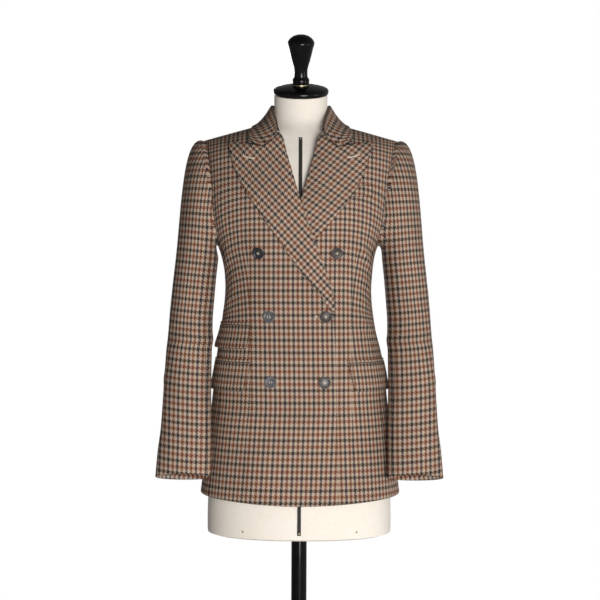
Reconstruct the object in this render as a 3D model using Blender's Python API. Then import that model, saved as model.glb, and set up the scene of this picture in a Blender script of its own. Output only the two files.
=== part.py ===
"""Double-breasted blazer worn on a limbless dress form with a turned stand.

Metres, +Z up. The front faces -Y and the wearer's right is -X. The origin is on
the pole's axis, where the base stands on the floor. Every cloth panel is a wall
between two grids of points taken from one smooth torso surface, so neighbours
meet along shared seams, and what lies on a panel is that surface moved out.
"""

import math

import bmesh
import bpy
from mathutils import Vector

# ---------------------------------------------------------------- dimensions
CLOTH = 0.0016          # thickness of one wall of cloth
SEAM = 0.0003           # gap between neighbours
LAYER = 0.0006          # gap between cloth layers that lie on each other
RIGHT, LEFT = -1, 1     # the wearer's sides, as signs of x

# Torso of the blazer at each height: half width, depth in front and behind,
# squareness of the section, and how far its middle sways to one side.
TORSO_COLUMNS = ("height", "half_width", "front", "back", "squareness", "sway")
TORSO = (
    (0.420, 0.1860, 0.1385, 0.1310, 2.45, 0.0015),
    (0.500, 0.1760, 0.1310, 0.1265, 2.45, 0.0010),
    (0.560, 0.1680, 0.1260, 0.1225, 2.45, 0.0005),
    (0.620, 0.1605, 0.1215, 0.1170, 2.45, 0.0000),
    (0.660, 0.1570, 0.1185, 0.1115, 2.45, 0.0000),
    (0.700, 0.1505, 0.1140, 0.1040, 2.45, -0.0015),
    (0.740, 0.1425, 0.1085, 0.0960, 2.45, -0.0035),
    (0.800, 0.1350, 0.1045, 0.0905, 2.45, -0.0035),
    (0.840, 0.1362, 0.1085, 0.0930, 2.45, -0.0030),
    (0.870, 0.1408, 0.1150, 0.0970, 2.50, -0.0040),
    (0.890, 0.1470, 0.1200, 0.1000, 2.55, -0.0045),
    (0.930, 0.1630, 0.1255, 0.1055, 2.65, -0.0035),
    (0.970, 0.1700, 0.1225, 0.1090, 2.70, -0.0030),
    (1.020, 0.1735, 0.1090, 0.1050, 2.70, -0.0015),
    (1.070, 0.1770, 0.0915, 0.0890, 2.60, 0.0000),
    (1.120, 0.1825, 0.0740, 0.0660, 2.50, 0.0000),
)

RIDGE_HEIGHT = 1.0845       # shoulder ridge at its tip
RIDGE_TIP = 0.1785          # shoulder tip from the middle
RIDGE_SLOPE = 0.275         # rise of the ridge towards the neck
RIDGE_Y = 0.004             # where the shoulder seam runs, front to back
ROLL_OVER = 0.050           # height over which the shoulder rounds off

# Soft folds pressed out of the cloth: from one end to the other (bearing from
# the front in degrees, height), half width and depth.
FOLD_COLUMNS = ("from_bearing", "from_height", "to_bearing", "to_height", "width", "depth")
FOLDS = (
    (52.0, 0.888, 74.0, 0.846, 0.007, 0.0028),
    (55.0, 0.765, 78.0, 0.716, 0.008, 0.0024),
    (60.0, 0.838, 80.0, 0.800, 0.008, 0.0018),
    (-58.0, 0.880, -76.0, 0.842, 0.008, 0.0024),
    (-60.0, 0.806, -80.0, 0.770, 0.008, 0.0020),
    (122.0, 0.860, 100.0, 0.820, 0.009, 0.0024),
    (-124.0, 0.855, -101.0, 0.815, 0.009, 0.0024),
    (150.0, 0.790, 118.0, 0.775, 0.009, 0.0022),
    (-150.0, 0.795, -119.0, 0.778, 0.009, 0.0022),
)

HEM_SIDE = 0.438            # hem height at the side seams
HEM_DIP = 0.010             # how much lower the hem hangs in front and behind
HEM_FADE = 0.620            # height above which rows are level

# The fronts' inner edges: straight below the break, then the roll line.
EDGE_COLUMNS = ("height", "inner")
FRONT_EDGE = (              # how far the upper front laps past the middle
    (0.420, 0.0692), (0.500, 0.0682), (0.600, 0.0662), (0.690, 0.0640),
    (0.735, 0.0618), (0.773, 0.0586), (0.811, 0.0536), (0.847, 0.0412),
    (0.876, 0.0307), (0.9225, 0.0140), (0.9637, 0.0000), (0.995, -0.0095),
    (1.030, -0.0195), (1.053, -0.0262), (1.069, -0.0300), (1.0854, -0.0345),
    (1.100, -0.0450), (1.115, -0.0640),
)
NECK_POINT = (0.0640, 1.1160)   # where neckline and shoulder seam meet: x, height
BACK_NECK = 1.1120              # height of the back panels at the middle
BREAK = 0.773                   # height where the lapels start to turn

# Rows of the panels below the armhole, and how the rows above it are spread.
LOW_ROWS = (0.438, 0.476, 0.514, 0.552, 0.590, 0.625, 0.660, 0.690, 0.720,
            0.748, 0.773, 0.797, 0.820, 0.843, 0.864, 0.882, 0.900)

# Armhole, once round the sleeve from the shoulder tip over the front.
ARMHOLE_COLUMNS = ("turn", "height", "bearing")
ARMHOLE = (
    (0.0, 1.0845, 90.0), (15.0, 1.0785, 79.5), (30.0, 1.0600, 77.0), (60.0, 1.0150, 69.8),
    (90.0, 0.9650, 66.4), (120.0, 0.9250, 67.1), (150.0, 0.9000, 71.5),
    (165.0, 0.8930, 80.0), (180.0, 0.8905, 90.0), (195.0, 0.8930, 98.0),
    (210.0, 0.9000, 105.0), (225.0, 0.9120, 110.0), (240.0, 0.9280, 112.5),
    (270.0, 0.9700, 113.0), (300.0, 1.0200, 110.0), (330.0, 1.0620, 102.0),
    (345.0, 1.0790, 98.5), (360.0, 1.0845, 90.0),
)
FRONT_JOIN, BACK_JOIN = 150, 225    # turns where the side body's seams meet it
TURN_STEP = 15                      # spacing of the armhole's points

# Bearings of the side body's two seams down the torso.
SIDE_SEAM_COLUMNS = ("height", "front_seam", "back_seam")
SIDE_SEAMS = (
    (0.438, 66.0, 113.0), (0.560, 66.0, 114.0), (0.690, 65.0, 117.0),
    (0.800, 65.0, 119.0), (0.864, 68.0, 115.0), (0.900, 71.5, 110.0),
)

# Lapels: outer edge of the upper and the lower one at each height.
LAPEL_COLUMNS = ("height", "upper_edge", "lower_edge")
LAPEL = (
    (0.7730, -0.0525, -0.0525), (0.8104, -0.0311, -0.0370), (0.8370, -0.0086, -0.0180),
    (0.8655, 0.0119, 0.0010), (0.8960, 0.0335, 0.0240), (0.9200, 0.0500, 0.0430),
    (0.9510, 0.0700, 0.0675), (0.9860, 0.0915, 0.0905), (1.0265, 0.1120, 0.1110),
    (1.0500, 0.1225, 0.1200), (1.0680, 0.1300, 0.1270), (1.0765, 0.1306, 0.1290),
)
# Top edge of a lapel, from the roll line along the gorge to the peak's tip.
GORGE_COLUMNS = ("x", "height")
GORGE = (
    (0.0372, 1.0940), (0.0465, 1.0825), (0.0560, 1.0735), (0.0665, 1.0668),
    (0.0800, 1.0685), (0.0947, 1.0705), (0.1306, 1.0765),
)
LAPEL_TOP_FADE = 1.045      # height above which rows bend to follow the gorge
BELLY = 0.0030              # how far a lapel's middle stands off
LAPEL_LIFT = 0.0024         # how far its outer edge stands off

# Collar stations from the gorge to the back: neckline, fold, middle and outer edge.
COLLAR_COLUMNS = ("station", "neck_x", "neck_y", "neck_z", "fold_x", "fold_y", "fold_z",
                  "mid_x", "mid_y", "mid_out", "edge_x", "edge_y", "back")
COLLAR = (
    (0.00, 0.0360, -0.0680, 1.0990, 0.0385, -0.0735, 1.1035, 0.0665, -0.0897, 0.003, 0.0947, -0.0807, 0.0),
    (0.18, 0.0465, -0.0440, 1.1060, 0.0450, -0.0490, 1.1205, 0.0700, -0.0644, 0.004, 0.0930, -0.0580, 0.0),
    (0.34, 0.0570, -0.0210, 1.1165, 0.0510, -0.0215, 1.1385, 0.0700, -0.0275, 0.006, 0.0900, -0.0290, 0.0),
    (0.50, 0.0610, 0.0040, 1.1200, 0.0535, 0.0080, 1.1500, 0.0690, 0.0080, 0.009, 0.0870, 0.0080, 0.3),
    (0.66, 0.0520, 0.0320, 1.1200, 0.0470, 0.0370, 1.1505, 0.0600, 0.0400, 0.012, 0.0740, 0.0410, 1.0),
    (0.82, 0.0300, 0.0480, 1.1180, 0.0275, 0.0540, 1.1490, 0.0340, 0.0600, 0.012, 0.0420, 0.0620, 1.0),
    (1.00, 0.0000, 0.0540, 1.1170, 0.0000, 0.0595, 1.1480, 0.0000, 0.0680, 0.012, 0.0000, 0.0720, 1.0),
)
COLLAR_STATIONS = 9         # per half
COLLAR_RISE = 0.0012        # gap between the collar's end and the gorge
FOLD_RADIUS = 0.0024        # half the thickness of the collar at its fold

# Sleeve below the armhole: middle of each ring, its half sizes and how far its
# back hangs below level, in degrees.
SLEEVE_COLUMNS = ("height", "middle_x", "middle_y", "half_x", "half_y", "tilt", "twist")
SLEEVE = (
    (0.4747, 0.2080, -0.0985, 0.0505, 0.0330, 16.0, 1.0),
    (0.5200, 0.2066, -0.0880, 0.0485, 0.0370, 15.5, 0.85),
    (0.5580, 0.2049, -0.0775, 0.0459, 0.0405, 15.0, 0.7),
    (0.6000, 0.2043, -0.0665, 0.0441, 0.0440, 14.0, 0.55),
    (0.6460, 0.2036, -0.0535, 0.0428, 0.0475, 12.5, 0.4),
    (0.6970, 0.2025, -0.0360, 0.0416, 0.0525, 10.0, 0.28),
    (0.7270, 0.2012, -0.0220, 0.0406, 0.0560, 8.5, 0.2),
    (0.7580, 0.2003, -0.0145, 0.0397, 0.0585, 7.0, 0.15),
    (0.7900, 0.1980, -0.0085, 0.0396, 0.0610, 5.0, 0.1),
    (0.8300, 0.1945, -0.0030, 0.0392, 0.0640, 3.0, 0.05),
    (0.8650, 0.1908, 0.0000, 0.0392, 0.0655, 0.0, 0.0),
)
SLEEVE_SQUARENESS = 2.15
CAP_ROWS = (0.0, 0.07, 0.18, 0.32, 0.48, 0.65, 0.83)   # shares from armhole to first ring
HEAD_RISE = 0.36            # how steeply the head leaves the shoulder tip
HEAD_LEAVE, HEAD_LAND = 0.58, 1.22   # fullness of the head where it leaves and lands
UPPER_FROM, UPPER_TO = -105, 135    # turns between which the upper sleeve runs
BACK_SEAM_TWIST, FRONT_SEAM_TWIST = 50.0, 15.0   # how those seams wander to the cuff

# Pockets on the torso: front and outer end, top and depth.
POCKET_COLUMNS = ("front_x", "end_bearing", "top", "depth", "slant", "hang")
FLAPS = {
    "right": (0.0850, 88.0, 0.6810, 0.0520, 0.0120, 0.0030),
    "left": (0.0850, 86.0, 0.6810, 0.0520, 0.0120, 0.0022),
    "ticket": (0.0870, 84.0, 0.7474, 0.0430, 0.0045, 0.0042),
}
JETTING = 0.0045            # height of the welt above a flap
BREAST_WELT = (0.0360, 0.1290, 0.9755, 0.0200, 0.0035)  # inner x, outer x, base, height, rise

# Front buttons: x, height and which layer carries them.
BUTTONS = (
    (-0.0732, 0.8765, "upper"), (0.0651, 0.8756, "lower"),
    (-0.0544, 0.7624, "upper"), (0.0450, 0.7627, "upper"),
    (-0.0511, 0.6471, "upper"), (0.0441, 0.6464, "upper"),
)
BUTTON_RADIUS = 0.0107
CUFF_BUTTON_RADIUS = 0.0072
CUFF_BUTTON_HEIGHTS = (0.492, 0.509, 0.526)

# Dress form rings from its bottom plate to the top of the neck.
FORM_COLUMNS = ("side_z", "front_z", "back_z", "half_width", "front", "back", "squareness")
FORM = (
    (0.3620, 0.3620, 0.3620, 0.1600, 0.1120, 0.1080, 2.30),
    (0.3650, 0.3650, 0.3650, 0.1662, 0.1172, 0.1132, 2.30),
    (0.3720, 0.3720, 0.3720, 0.1695, 0.1200, 0.1160, 2.30),
    (0.4400, 0.4400, 0.4400, 0.1680, 0.1205, 0.1160, 2.30),
    (0.5100, 0.5100, 0.5100, 0.1620, 0.1175, 0.1140, 2.30),
    (0.5800, 0.5800, 0.5800, 0.1545, 0.1130, 0.1090, 2.30),
    (0.6500, 0.6500, 0.6500, 0.1460, 0.1070, 0.1010, 2.30),
    (0.7200, 0.7200, 0.7200, 0.1330, 0.0990, 0.0890, 2.30),
    (0.7900, 0.7900, 0.7900, 0.1220, 0.0935, 0.0800, 2.30),
    (0.8400, 0.8400, 0.8400, 0.1240, 0.0975, 0.0820, 2.30),
    (0.8850, 0.8850, 0.8850, 0.1320, 0.1080, 0.0890, 2.35),
    (0.9300, 0.9300, 0.9300, 0.1440, 0.1150, 0.0945, 2.40),
    (0.9750, 0.9750, 0.9750, 0.1520, 0.1110, 0.0975, 2.45),
    (1.0200, 1.0150, 1.0150, 0.1570, 0.0980, 0.0955, 2.45),
    (1.0560, 1.0480, 1.0480, 0.1580, 0.0840, 0.0860, 2.40),
    (1.0760, 1.0680, 1.0680, 0.1520, 0.0730, 0.0760, 2.35),
    (1.0905, 1.0820, 1.0840, 0.1300, 0.0650, 0.0660, 2.30),
    (1.0990, 1.0930, 1.0960, 0.1000, 0.0590, 0.0580, 2.20),
    (1.1050, 1.1010, 1.1060, 0.0760, 0.0540, 0.0520, 2.10),
    (1.1110, 1.1090, 1.1130, 0.0590, 0.0500, 0.0480, 2.00),
    (1.1220, 1.1180, 1.1260, 0.0518, 0.0470, 0.0475, 2.00),
    (1.1400, 1.1320, 1.1480, 0.0492, 0.0460, 0.0480, 2.00),
    (1.1700, 1.1567, 1.1841, 0.0490, 0.0465, 0.0490, 2.00),
)
FORM_COLUMNS_AROUND = 26
TAPE_WIDTH, TAPE_DEPTH = 0.0065, 0.0008
TAPE_ROWS = 22
TAPE_TOP, TAPE_BOTTOM = 1.086, 0.3735
TACKS = (-0.1010, 0.0, 0.1030)
TACK_HEIGHT, TACK_RADIUS = 0.3800, 0.0021

NECK_TILT = math.atan(0.2867)       # how far the cap leans forward
NECK_TOP = 1.1704                   # height of the cap's underside on its axis
# Turned profiles as (radius, height along the axis).
CAP_PROFILE = ((0.0485, 0.0), (0.0505, 0.0018), (0.0512, 0.0045), (0.0510, 0.0078),
               (0.0490, 0.0105), (0.0420, 0.0132), (0.0310, 0.0158), (0.0165, 0.0178))
CAP_RING_PROFILE = ((0.0156, 0.0181), (0.0156, 0.0192))
HANDLE_PROFILE = ((0.0150, 0.0195), (0.0154, 0.0215), (0.0154, 0.0280), (0.0128, 0.0318),
                  (0.0121, 0.0400), (0.0148, 0.0560),
                  (0.0188, 0.0690), (0.0228, 0.0820), (0.0252, 0.0930), (0.0255, 0.0990),
                  (0.0240, 0.1060), (0.0185, 0.1115), (0.0100, 0.1140))
POLE_RADIUS = 0.01425
BASE_PROFILE = ((0.1710, 0.0), (0.1750, 0.0040), (0.1750, 0.0110), (0.1690, 0.0170),
                (0.0900, 0.0220), (0.0340, 0.0250), (0.0270, 0.0420), (0.0200, 0.0470))
POLE_FOOT = 0.0473


# ------------------------------------------------------------- interpolation
def smooth(table, at, column):
    """A column of a table at a given key, as a smooth curve through its rows."""
    rows = table if table[0][0] < table[-1][0] else table[::-1]
    if at <= rows[0][0]:
        return rows[0][column]
    if at >= rows[-1][0]:
        return rows[-1][column]
    after = next(k for k, row in enumerate(rows) if row[0] >= at)
    before = after - 1
    span = rows[after][0] - rows[before][0]
    share = (at - rows[before][0]) / span

    def slope(k):
        low, high = max(k - 1, 0), min(k + 1, len(rows) - 1)
        return (rows[high][column] - rows[low][column]) / (rows[high][0] - rows[low][0])

    cube, square = share ** 3, share ** 2
    return ((2 * cube - 3 * square + 1) * rows[before][column]
            + (cube - 2 * square + share) * span * slope(before)
            + (3 * square - 2 * cube) * rows[after][column]
            + (cube - square) * span * slope(after))


def mix(a, b, share):
    return a + (b - a) * share


def ease(value, low, high):
    """0 below low, 1 above high, smooth between; works downwards too."""
    share = min(max((value - low) / (high - low), 0.0), 1.0)
    return share * share * (3 - 2 * share)


# ------------------------------------------------------------- torso surface
def ridge(x):
    """Height of the shoulder ridge at a distance from the middle."""
    return RIDGE_HEIGHT + (RIDGE_TIP - abs(x)) * RIDGE_SLOPE


def section(height):
    """Half width, front depth, back depth, squareness and sway at a height."""
    return [smooth(TORSO, height, column) for column in range(1, 6)]


def fold_relief(bearing, height):
    """How far the folds press the cloth out at a place on the torso."""
    relief = 0.0
    around = 0.0024     # metres along the torso for each degree of bearing
    for row in FOLDS:
        start = Vector((row[0] * around, row[1]))
        along = Vector((row[2] * around, row[3])) - start
        here = Vector((bearing * around, height)) - start
        share = min(max(here.dot(along) / along.length_squared, 0.0), 1.0)
        away = (here - along * share).length
        relief += row[5] * math.exp(-((away / row[4]) ** 2)) * math.sin(math.pi * mix(0.15, 0.85, share))
    return relief


def skin(bearing, height):
    """Point on the blazer's outer surface; bearing in degrees from the front, + to the left."""
    wide, front, back, square, sway = section(height)
    turn = math.radians(bearing)
    across, deep = math.sin(turn), -math.cos(turn)
    depth = front if deep < 0 else back
    radius = (abs(across / wide) ** square + abs(deep / depth) ** square) ** (-1 / square)
    radius += fold_relief(bearing, height)
    x, y = radius * across, radius * deep
    below = min(max((ridge(x) - height) / ROLL_OVER, 0.0), 1.0)
    y = RIDGE_Y + (y - RIDGE_Y) * math.sqrt(1 - (1 - below) ** 2)
    return Vector((x + sway, y, height))


def bearing_at(x, height, back=False):
    """Bearing of the surface point with this x, on the front or the back."""
    wide, front, behind, square, sway = section(height)
    reach = min(abs(x - sway) / wide, 0.9999)
    depth = (behind if back else front) * (1 - reach ** square) ** (1 / square)
    bearing = math.degrees(math.atan2(abs(x - sway), depth))
    bearing = 180 - bearing if back else bearing
    return math.copysign(bearing, x - sway)


def torso_normal(bearing, height):
    """Outward direction of the torso, from points near by, level with the ridge at most."""
    step = 0.7
    drop = 0.004
    top = ridge(skin(bearing, height).x) - 0.0015
    low = min(height, top) - drop
    high = min(height + drop, top)
    around = skin(bearing + step, low) - skin(bearing - step, low)
    upward = skin(bearing, high) - skin(bearing, low)
    normal = around.cross(upward).normalized()
    near_ridge = ease(height, top - 0.006, top + 0.0015)
    return normal.lerp(Vector((0.25 * math.sin(math.radians(bearing)), 0, 1)), near_ridge).normalized()


def on_torso(bearing, height, out):
    """Point of the torso's surface moved out along its normal."""
    return skin(bearing, height) + torso_normal(bearing, height) * out


# ------------------------------------------------------------- mesh building
def material(name, colour, roughness, metallic=0.0):
    made = bpy.data.materials.new(name)
    made.use_nodes = True
    shader = made.node_tree.nodes["Principled BSDF"]
    shader.inputs["Base Color"].default_value = (*colour, 1)
    shader.inputs["Roughness"].default_value = roughness
    shader.inputs["Metallic"].default_value = metallic
    return made


def make_object(name, points, faces, finish):
    """One closed body with its faces turned outwards."""
    mesh = bpy.data.meshes.new(name)
    shell = bmesh.new()
    corners = [shell.verts.new(point) for point in points]
    for face in faces:
        shell.faces.new([corners[k] for k in face])
    bmesh.ops.recalc_face_normals(shell, faces=shell.faces)
    bmesh.ops.triangulate(shell, faces=shell.faces)
    if shell.calc_volume(signed=True) < 0:
        bmesh.ops.reverse_faces(shell, faces=shell.faces)
    shell.to_mesh(mesh)
    shell.free()
    mesh.materials.append(finish)
    mesh.shade_smooth()
    mesh.set_sharp_from_angle(angle=math.radians(40))
    made = bpy.data.objects.new(name, mesh)
    bpy.context.collection.objects.link(made)
    return made


def wall(name, outer, inner, finish):
    """A wall between two equal grids of points."""
    rows, columns = len(outer), len(outer[0])
    points = [p for row in outer for p in row] + [p for row in inner for p in row]
    under = rows * columns

    def at(row, column):
        return row * columns + column

    faces = []
    for row in range(rows - 1):
        for column in range(columns - 1):
            quad = [at(row, column), at(row, column + 1), at(row + 1, column + 1), at(row + 1, column)]
            faces.append(quad)
            faces.append([under + k for k in reversed(quad)])
    for column in range(columns - 1):
        for row, order in ((0, 1), (rows - 1, -1)):
            rim = [at(row, column), at(row, column + 1)][::order]
            faces.append([rim[1], rim[0], under + rim[0], under + rim[1]])
    for row in range(rows - 1):
        for column, order in ((0, -1), (columns - 1, 1)):
            rim = [at(row, column), at(row + 1, column)][::order]
            faces.append([rim[1], rim[0], under + rim[0], under + rim[1]])
    return make_object(name, points, faces, finish)


def pull_in(grid, sides, gap=SEAM * 0.55):
    """Moves the named sides of a grid in by half a seam: 'first'/'last' column, 'bottom'/'top' row."""
    grid = [list(row) for row in grid]

    def towards(a, b):
        return a + (b - a).normalized() * gap

    for row in grid:
        if "first" in sides:
            row[0] = towards(row[0], row[1])
        if "last" in sides:
            row[-1] = towards(row[-1], row[-2])
    if "bottom" in sides:
        grid[0] = [towards(a, b) for a, b in zip(grid[0], grid[1])]
    if "top" in sides:
        grid[-1] = [towards(a, b) for a, b in zip(grid[-1], grid[-2])]
    return grid


def turned(name, profile, finish, tilt=0.0, base=Vector(), around=24):
    """A solid turned from a profile of radii and heights, closed by flat ends."""
    points, faces = [], []
    lean = Vector((0, -math.sin(tilt), math.cos(tilt)))
    depth = Vector((0, math.cos(tilt), math.sin(tilt)))
    for radius, height in profile:
        for k in range(around):
            turn = math.tau * k / around
            points.append(base + lean * height + Vector((radius * math.cos(turn), 0, 0))
                          + depth * (radius * math.sin(turn)))
    for row in range(len(profile) - 1):
        for k in range(around):
            after = (k + 1) % around
            faces.append([row * around + k, row * around + after,
                          (row + 1) * around + after, (row + 1) * around + k])
    faces.append(list(range(around))[::-1])
    faces.append([(len(profile) - 1) * around + k for k in range(around)])
    return make_object(name, points, faces, finish)


# ------------------------------------------------------------ blazer panels
def row_height(level, bearing):
    """Height of a low row at a bearing: rows near the hem dip in front and behind."""
    dip = HEM_DIP * math.cos(math.radians(bearing)) ** 2
    return level - dip * (1 - ease(level, HEM_SIDE, HEM_FADE))


def armhole(turn, side):
    """Bearing and height of the armhole at a turn of the sleeve."""
    turn = turn % 360
    return side * smooth(ARMHOLE, turn, 2), smooth(ARMHOLE, turn, 1)


def side_seam(level, side, column):
    return side * smooth(SIDE_SEAMS, level, column)


def upper_lift(x, height):
    """How far the upper front is carried outside the layers under it."""
    beside = 1 - ease(-x, 0.073, 0.120)
    lapel_under = ease(height, BREAK - 0.036, BREAK - 0.004)
    above = 1 - ease(height, 0.985, 1.050)
    return (CLOTH + LAYER) * beside * above * (1 + lapel_under)


def front_rows(side):
    """Rows of a front: height and bearing at its inner edge, bearing and height at its outer one."""
    turns = list(range(FRONT_JOIN, -1, -TURN_STEP))
    foot, tip = armhole(turns[0], side)[1], armhole(turns[-1], side)[1]
    rows = [(level, side_seam(level, side, 1), level) for level in LOW_ROWS]
    for turn in turns[1:]:
        bearing, height = armhole(turn, side)
        rows.append((mix(foot, NECK_POINT[1], (height - foot) / (tip - foot)), bearing, height))
    return [(inner, bearing_at(-side * smooth(FRONT_EDGE, inner, 1), inner), bearing, outer)
            for inner, bearing, outer in rows]


def ridge_at(bearing):
    """Height of the shoulder ridge at a bearing."""
    height = RIDGE_HEIGHT
    for _ in range(5):
        height = ridge(skin(bearing, height).x)
    return height


def front_place(row, share):
    """Bearing and height on a front's row, at a share of the way from its inner edge."""
    inner_height, inner_bearing, outer_bearing, outer_height = row
    bearing = mix(inner_bearing, outer_bearing, share)
    height = mix(inner_height, outer_height, share)
    up = max(0.0, (inner_height - LOW_ROWS[-1]) / (NECK_POINT[1] - LOW_ROWS[-1]))
    if up > 0 and 0 < share < 1:
        height = mix(height, ridge_at(bearing), up ** (6 + 30 * (1 - share) ** 3))
    return bearing, row_height(height, bearing)


def share_at(row, x):
    """Share along a front's row where it reaches an x."""
    low, high = 0.0, 1.0
    rising = skin(*front_place(row, 1.0)).x > skin(*front_place(row, 0.0)).x
    for _ in range(24):
        middle = (low + high) / 2
        short = (skin(*front_place(row, middle)).x < x) == rising
        low, high = (middle, high) if short else (low, middle)
    return (low + high) / 2


def base_out(x, height, side):
    """How far out the front that carries something lies."""
    return upper_lift(x, height) if side == RIGHT else 0.0


def front_panel(name, side, finish):
    """A front from its edge and roll line to the side seam and armhole."""
    columns = 12
    outer, inner = [], []
    for row in front_rows(side):
        places = [front_place(row, k / columns) for k in range(columns + 1)]
        lifts = [base_out(skin(*place).x, place[1], side) for place in places]
        outer.append([on_torso(*place, lift) for place, lift in zip(places, lifts)])
        inner.append([on_torso(*place, lift - CLOTH) for place, lift in zip(places, lifts)])
    seams = ("last", "top")
    return wall(name, pull_in(outer, seams), pull_in(inner, seams), finish)


def side_panel(name, side, finish):
    """The side body between the front's and the back's seams, up to the armhole."""
    turns = list(range(FRONT_JOIN, BACK_JOIN + 1, TURN_STEP))
    columns = len(turns) - 1
    outer, inner = [], []
    for level in LOW_ROWS[:-1]:
        first, last = side_seam(level, side, 1), side_seam(level, side, 2)
        places = [(mix(first, last, k / columns), level) for k in range(columns + 1)]
        squeeze = ease(level, 0.840, 0.900)
        tops = [armhole(turn, side) for turn in turns]
        places = [(mix(b, tops[k][0], squeeze), h) for k, (b, h) in enumerate(places)]
        places = [(b, row_height(h, b)) for b, h in places]
        outer.append([on_torso(b, h, 0) for b, h in places])
        inner.append([on_torso(b, h, -CLOTH) for b, h in places])
    places = [armhole(turn, side) for turn in turns]
    outer.append([on_torso(b, h, 0) for b, h in places])
    inner.append([on_torso(b, h, -CLOTH) for b, h in places])
    seams = ("first", "last", "top")
    return wall(name, pull_in(outer, seams), pull_in(inner, seams), finish)


def back_panel(name, side, finish):
    """A back half from the centre seam to the side seam, armhole and shoulder."""
    columns = 9
    turns = list(range(BACK_JOIN, 361, TURN_STEP))
    rise = [armhole(turn, side) if turn < 360 else (side * 90.0, RIDGE_HEIGHT) for turn in turns]
    foot, tip = rise[0][1], rise[-1][1]
    rows = [(level, side_seam(level, side, 2), level) for level in LOW_ROWS[:-1]]
    rows += [(mix(foot, BACK_NECK, (height - foot) / (tip - foot)), bearing, height)
             for bearing, height in rise]
    outer, inner = [], []
    for row, (inner_height, outer_bearing, outer_height) in enumerate(rows):
        up = max(0.0, (outer_height - foot) / (tip - foot))
        grid_row, under_row = [], []
        for k in range(columns + 1):
            share = k / columns
            bearing = mix(side * 180.0, outer_bearing, share)
            height = mix(inner_height, outer_height, share)
            if up > 0:
                beyond = (share - 1 / 3) * 1.5
                x = mix(NECK_POINT[0], RIDGE_TIP, beyond) if beyond > 0 else NECK_POINT[0] * share * 3
                seam = ridge(x) if beyond >= 0 else mix(BACK_NECK, NECK_POINT[1], share * 3)
                wanted = side * abs(bearing_at(side * x, seam, back=True))
                if 0 < share < 1:
                    bearing = mix(bearing, wanted, up ** 2)
                    height = mix(height, seam, up ** 3)
            height = row_height(height, bearing)
            grid_row.append(on_torso(bearing, height, 0))
            under_row.append(on_torso(bearing, height, -CLOTH))
        outer.append(grid_row)
        inner.append(under_row)
    seams = ("first", "last", "top")
    return wall(name, pull_in(outer, seams), pull_in(inner, seams), finish)


def lapel_stand(share, x, height, side):
    """How far a lapel stands off the front, at a share of its width."""
    body = ease(height, BREAK, BREAK + 0.06)
    stand = LAYER + (BELLY * math.sin(math.pi * share ** 0.7) + LAPEL_LIFT * share) * body
    if side == LEFT:
        stand = mix(LAYER, stand, ease(x - smooth(FRONT_EDGE, height, 1), 0.004, 0.020))
    return stand


def gorge_point(k, side, out, rise=0.0):
    """A point of the gorge line, where lapel and collar meet."""
    x, height = GORGE[k]
    height += rise
    share = (x - GORGE[0][0]) / (GORGE[-1][0] - GORGE[0][0])
    return on_torso(bearing_at(side * x, height), height, lapel_stand(share, x, height, side) + out)


def lapel_places(side):
    """Rows of a lapel as (bearing, height) across it; the last rows bend up to the gorge."""
    edge_column = 1 if side == RIGHT else 2
    reach = len(GORGE) - 1
    places = []
    for row in front_rows(side):
        if BREAK <= row[0] < LAPEL_TOP_FADE:
            edge_share = share_at(row, side * smooth(LAPEL, row[0], edge_column))
            places.append([front_place(row, edge_share * k / reach) for k in range(reach + 1)])
    top = [(bearing_at(side * x, height), height) for x, height in GORGE]
    top[0] = bearing_at(-side * smooth(FRONT_EDGE, GORGE[0][1], 1), GORGE[0][1]), GORGE[0][1]
    under = places[-1]
    for row in front_rows(side):
        if LAPEL_TOP_FADE < row[0] < GORGE[0][1] - 0.004:
            share = (row[0] - under[0][1]) / (top[0][1] - under[0][1])
            bent = [(mix(a[0], b[0], share), mix(a[1], b[1], share)) for a, b in zip(under, top)]
            places.append([front_place(row, 0.0)] + bent[1:])
    return places + [top]


def lapel(name, side, finish):
    """A peak lapel that turns round the front's edge and lies on the front."""
    roll_turns = (0.0, 40.0, 74.0)
    outer, inner = [], []
    for places in lapel_places(side):
        bearing, height = places[0]
        lift = base_out(skin(bearing, height).x, height, side)
        edge = on_torso(bearing, height, lift - CLOTH / 2)
        normal = torso_normal(bearing, height)
        away = (skin(bearing - side, height) - skin(bearing + side, height)).normalized()
        outer_row, inner_row = [], []
        for turn in roll_turns:
            angle = math.radians(turn)
            direction = normal * math.sin(angle) + away * math.cos(angle)
            outer_row.append(edge + direction * (CLOTH * 1.5 + LAYER))
            inner_row.append(edge + direction * (CLOTH * 0.5 + LAYER))
        for k, place in enumerate(places[1:], 1):
            x = skin(*place).x
            out = base_out(x, place[1], side) + lapel_stand(k / (len(places) - 1), x, place[1], side)
            outer_row.append(on_torso(*place, out + CLOTH))
            inner_row.append(on_torso(*place, out))
        outer.append(outer_row)
        inner.append(inner_row)
    return wall(name, outer, inner, finish)


# ------------------------------------------------------------------- collar
def height_over(x, y):
    """Height of the shoulders' surface over a place."""
    low, high = ridge(x) - ROLL_OVER, ridge(x)
    for _ in range(20):
        middle = (low + high) / 2
        depth = skin(bearing_at(x, middle, back=y > RIDGE_Y), middle).y
        low, high = (middle, high) if abs(depth - RIDGE_Y) > abs(y - RIDGE_Y) else (low, middle)
    return (low + high) / 2


def lying(x, y, out):
    """Point a distance out from the shoulders' surface."""
    x = max(x, 0.0015)
    height = height_over(x, y)
    return on_torso(bearing_at(x, height, back=y > RIDGE_Y), height, out)


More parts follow.
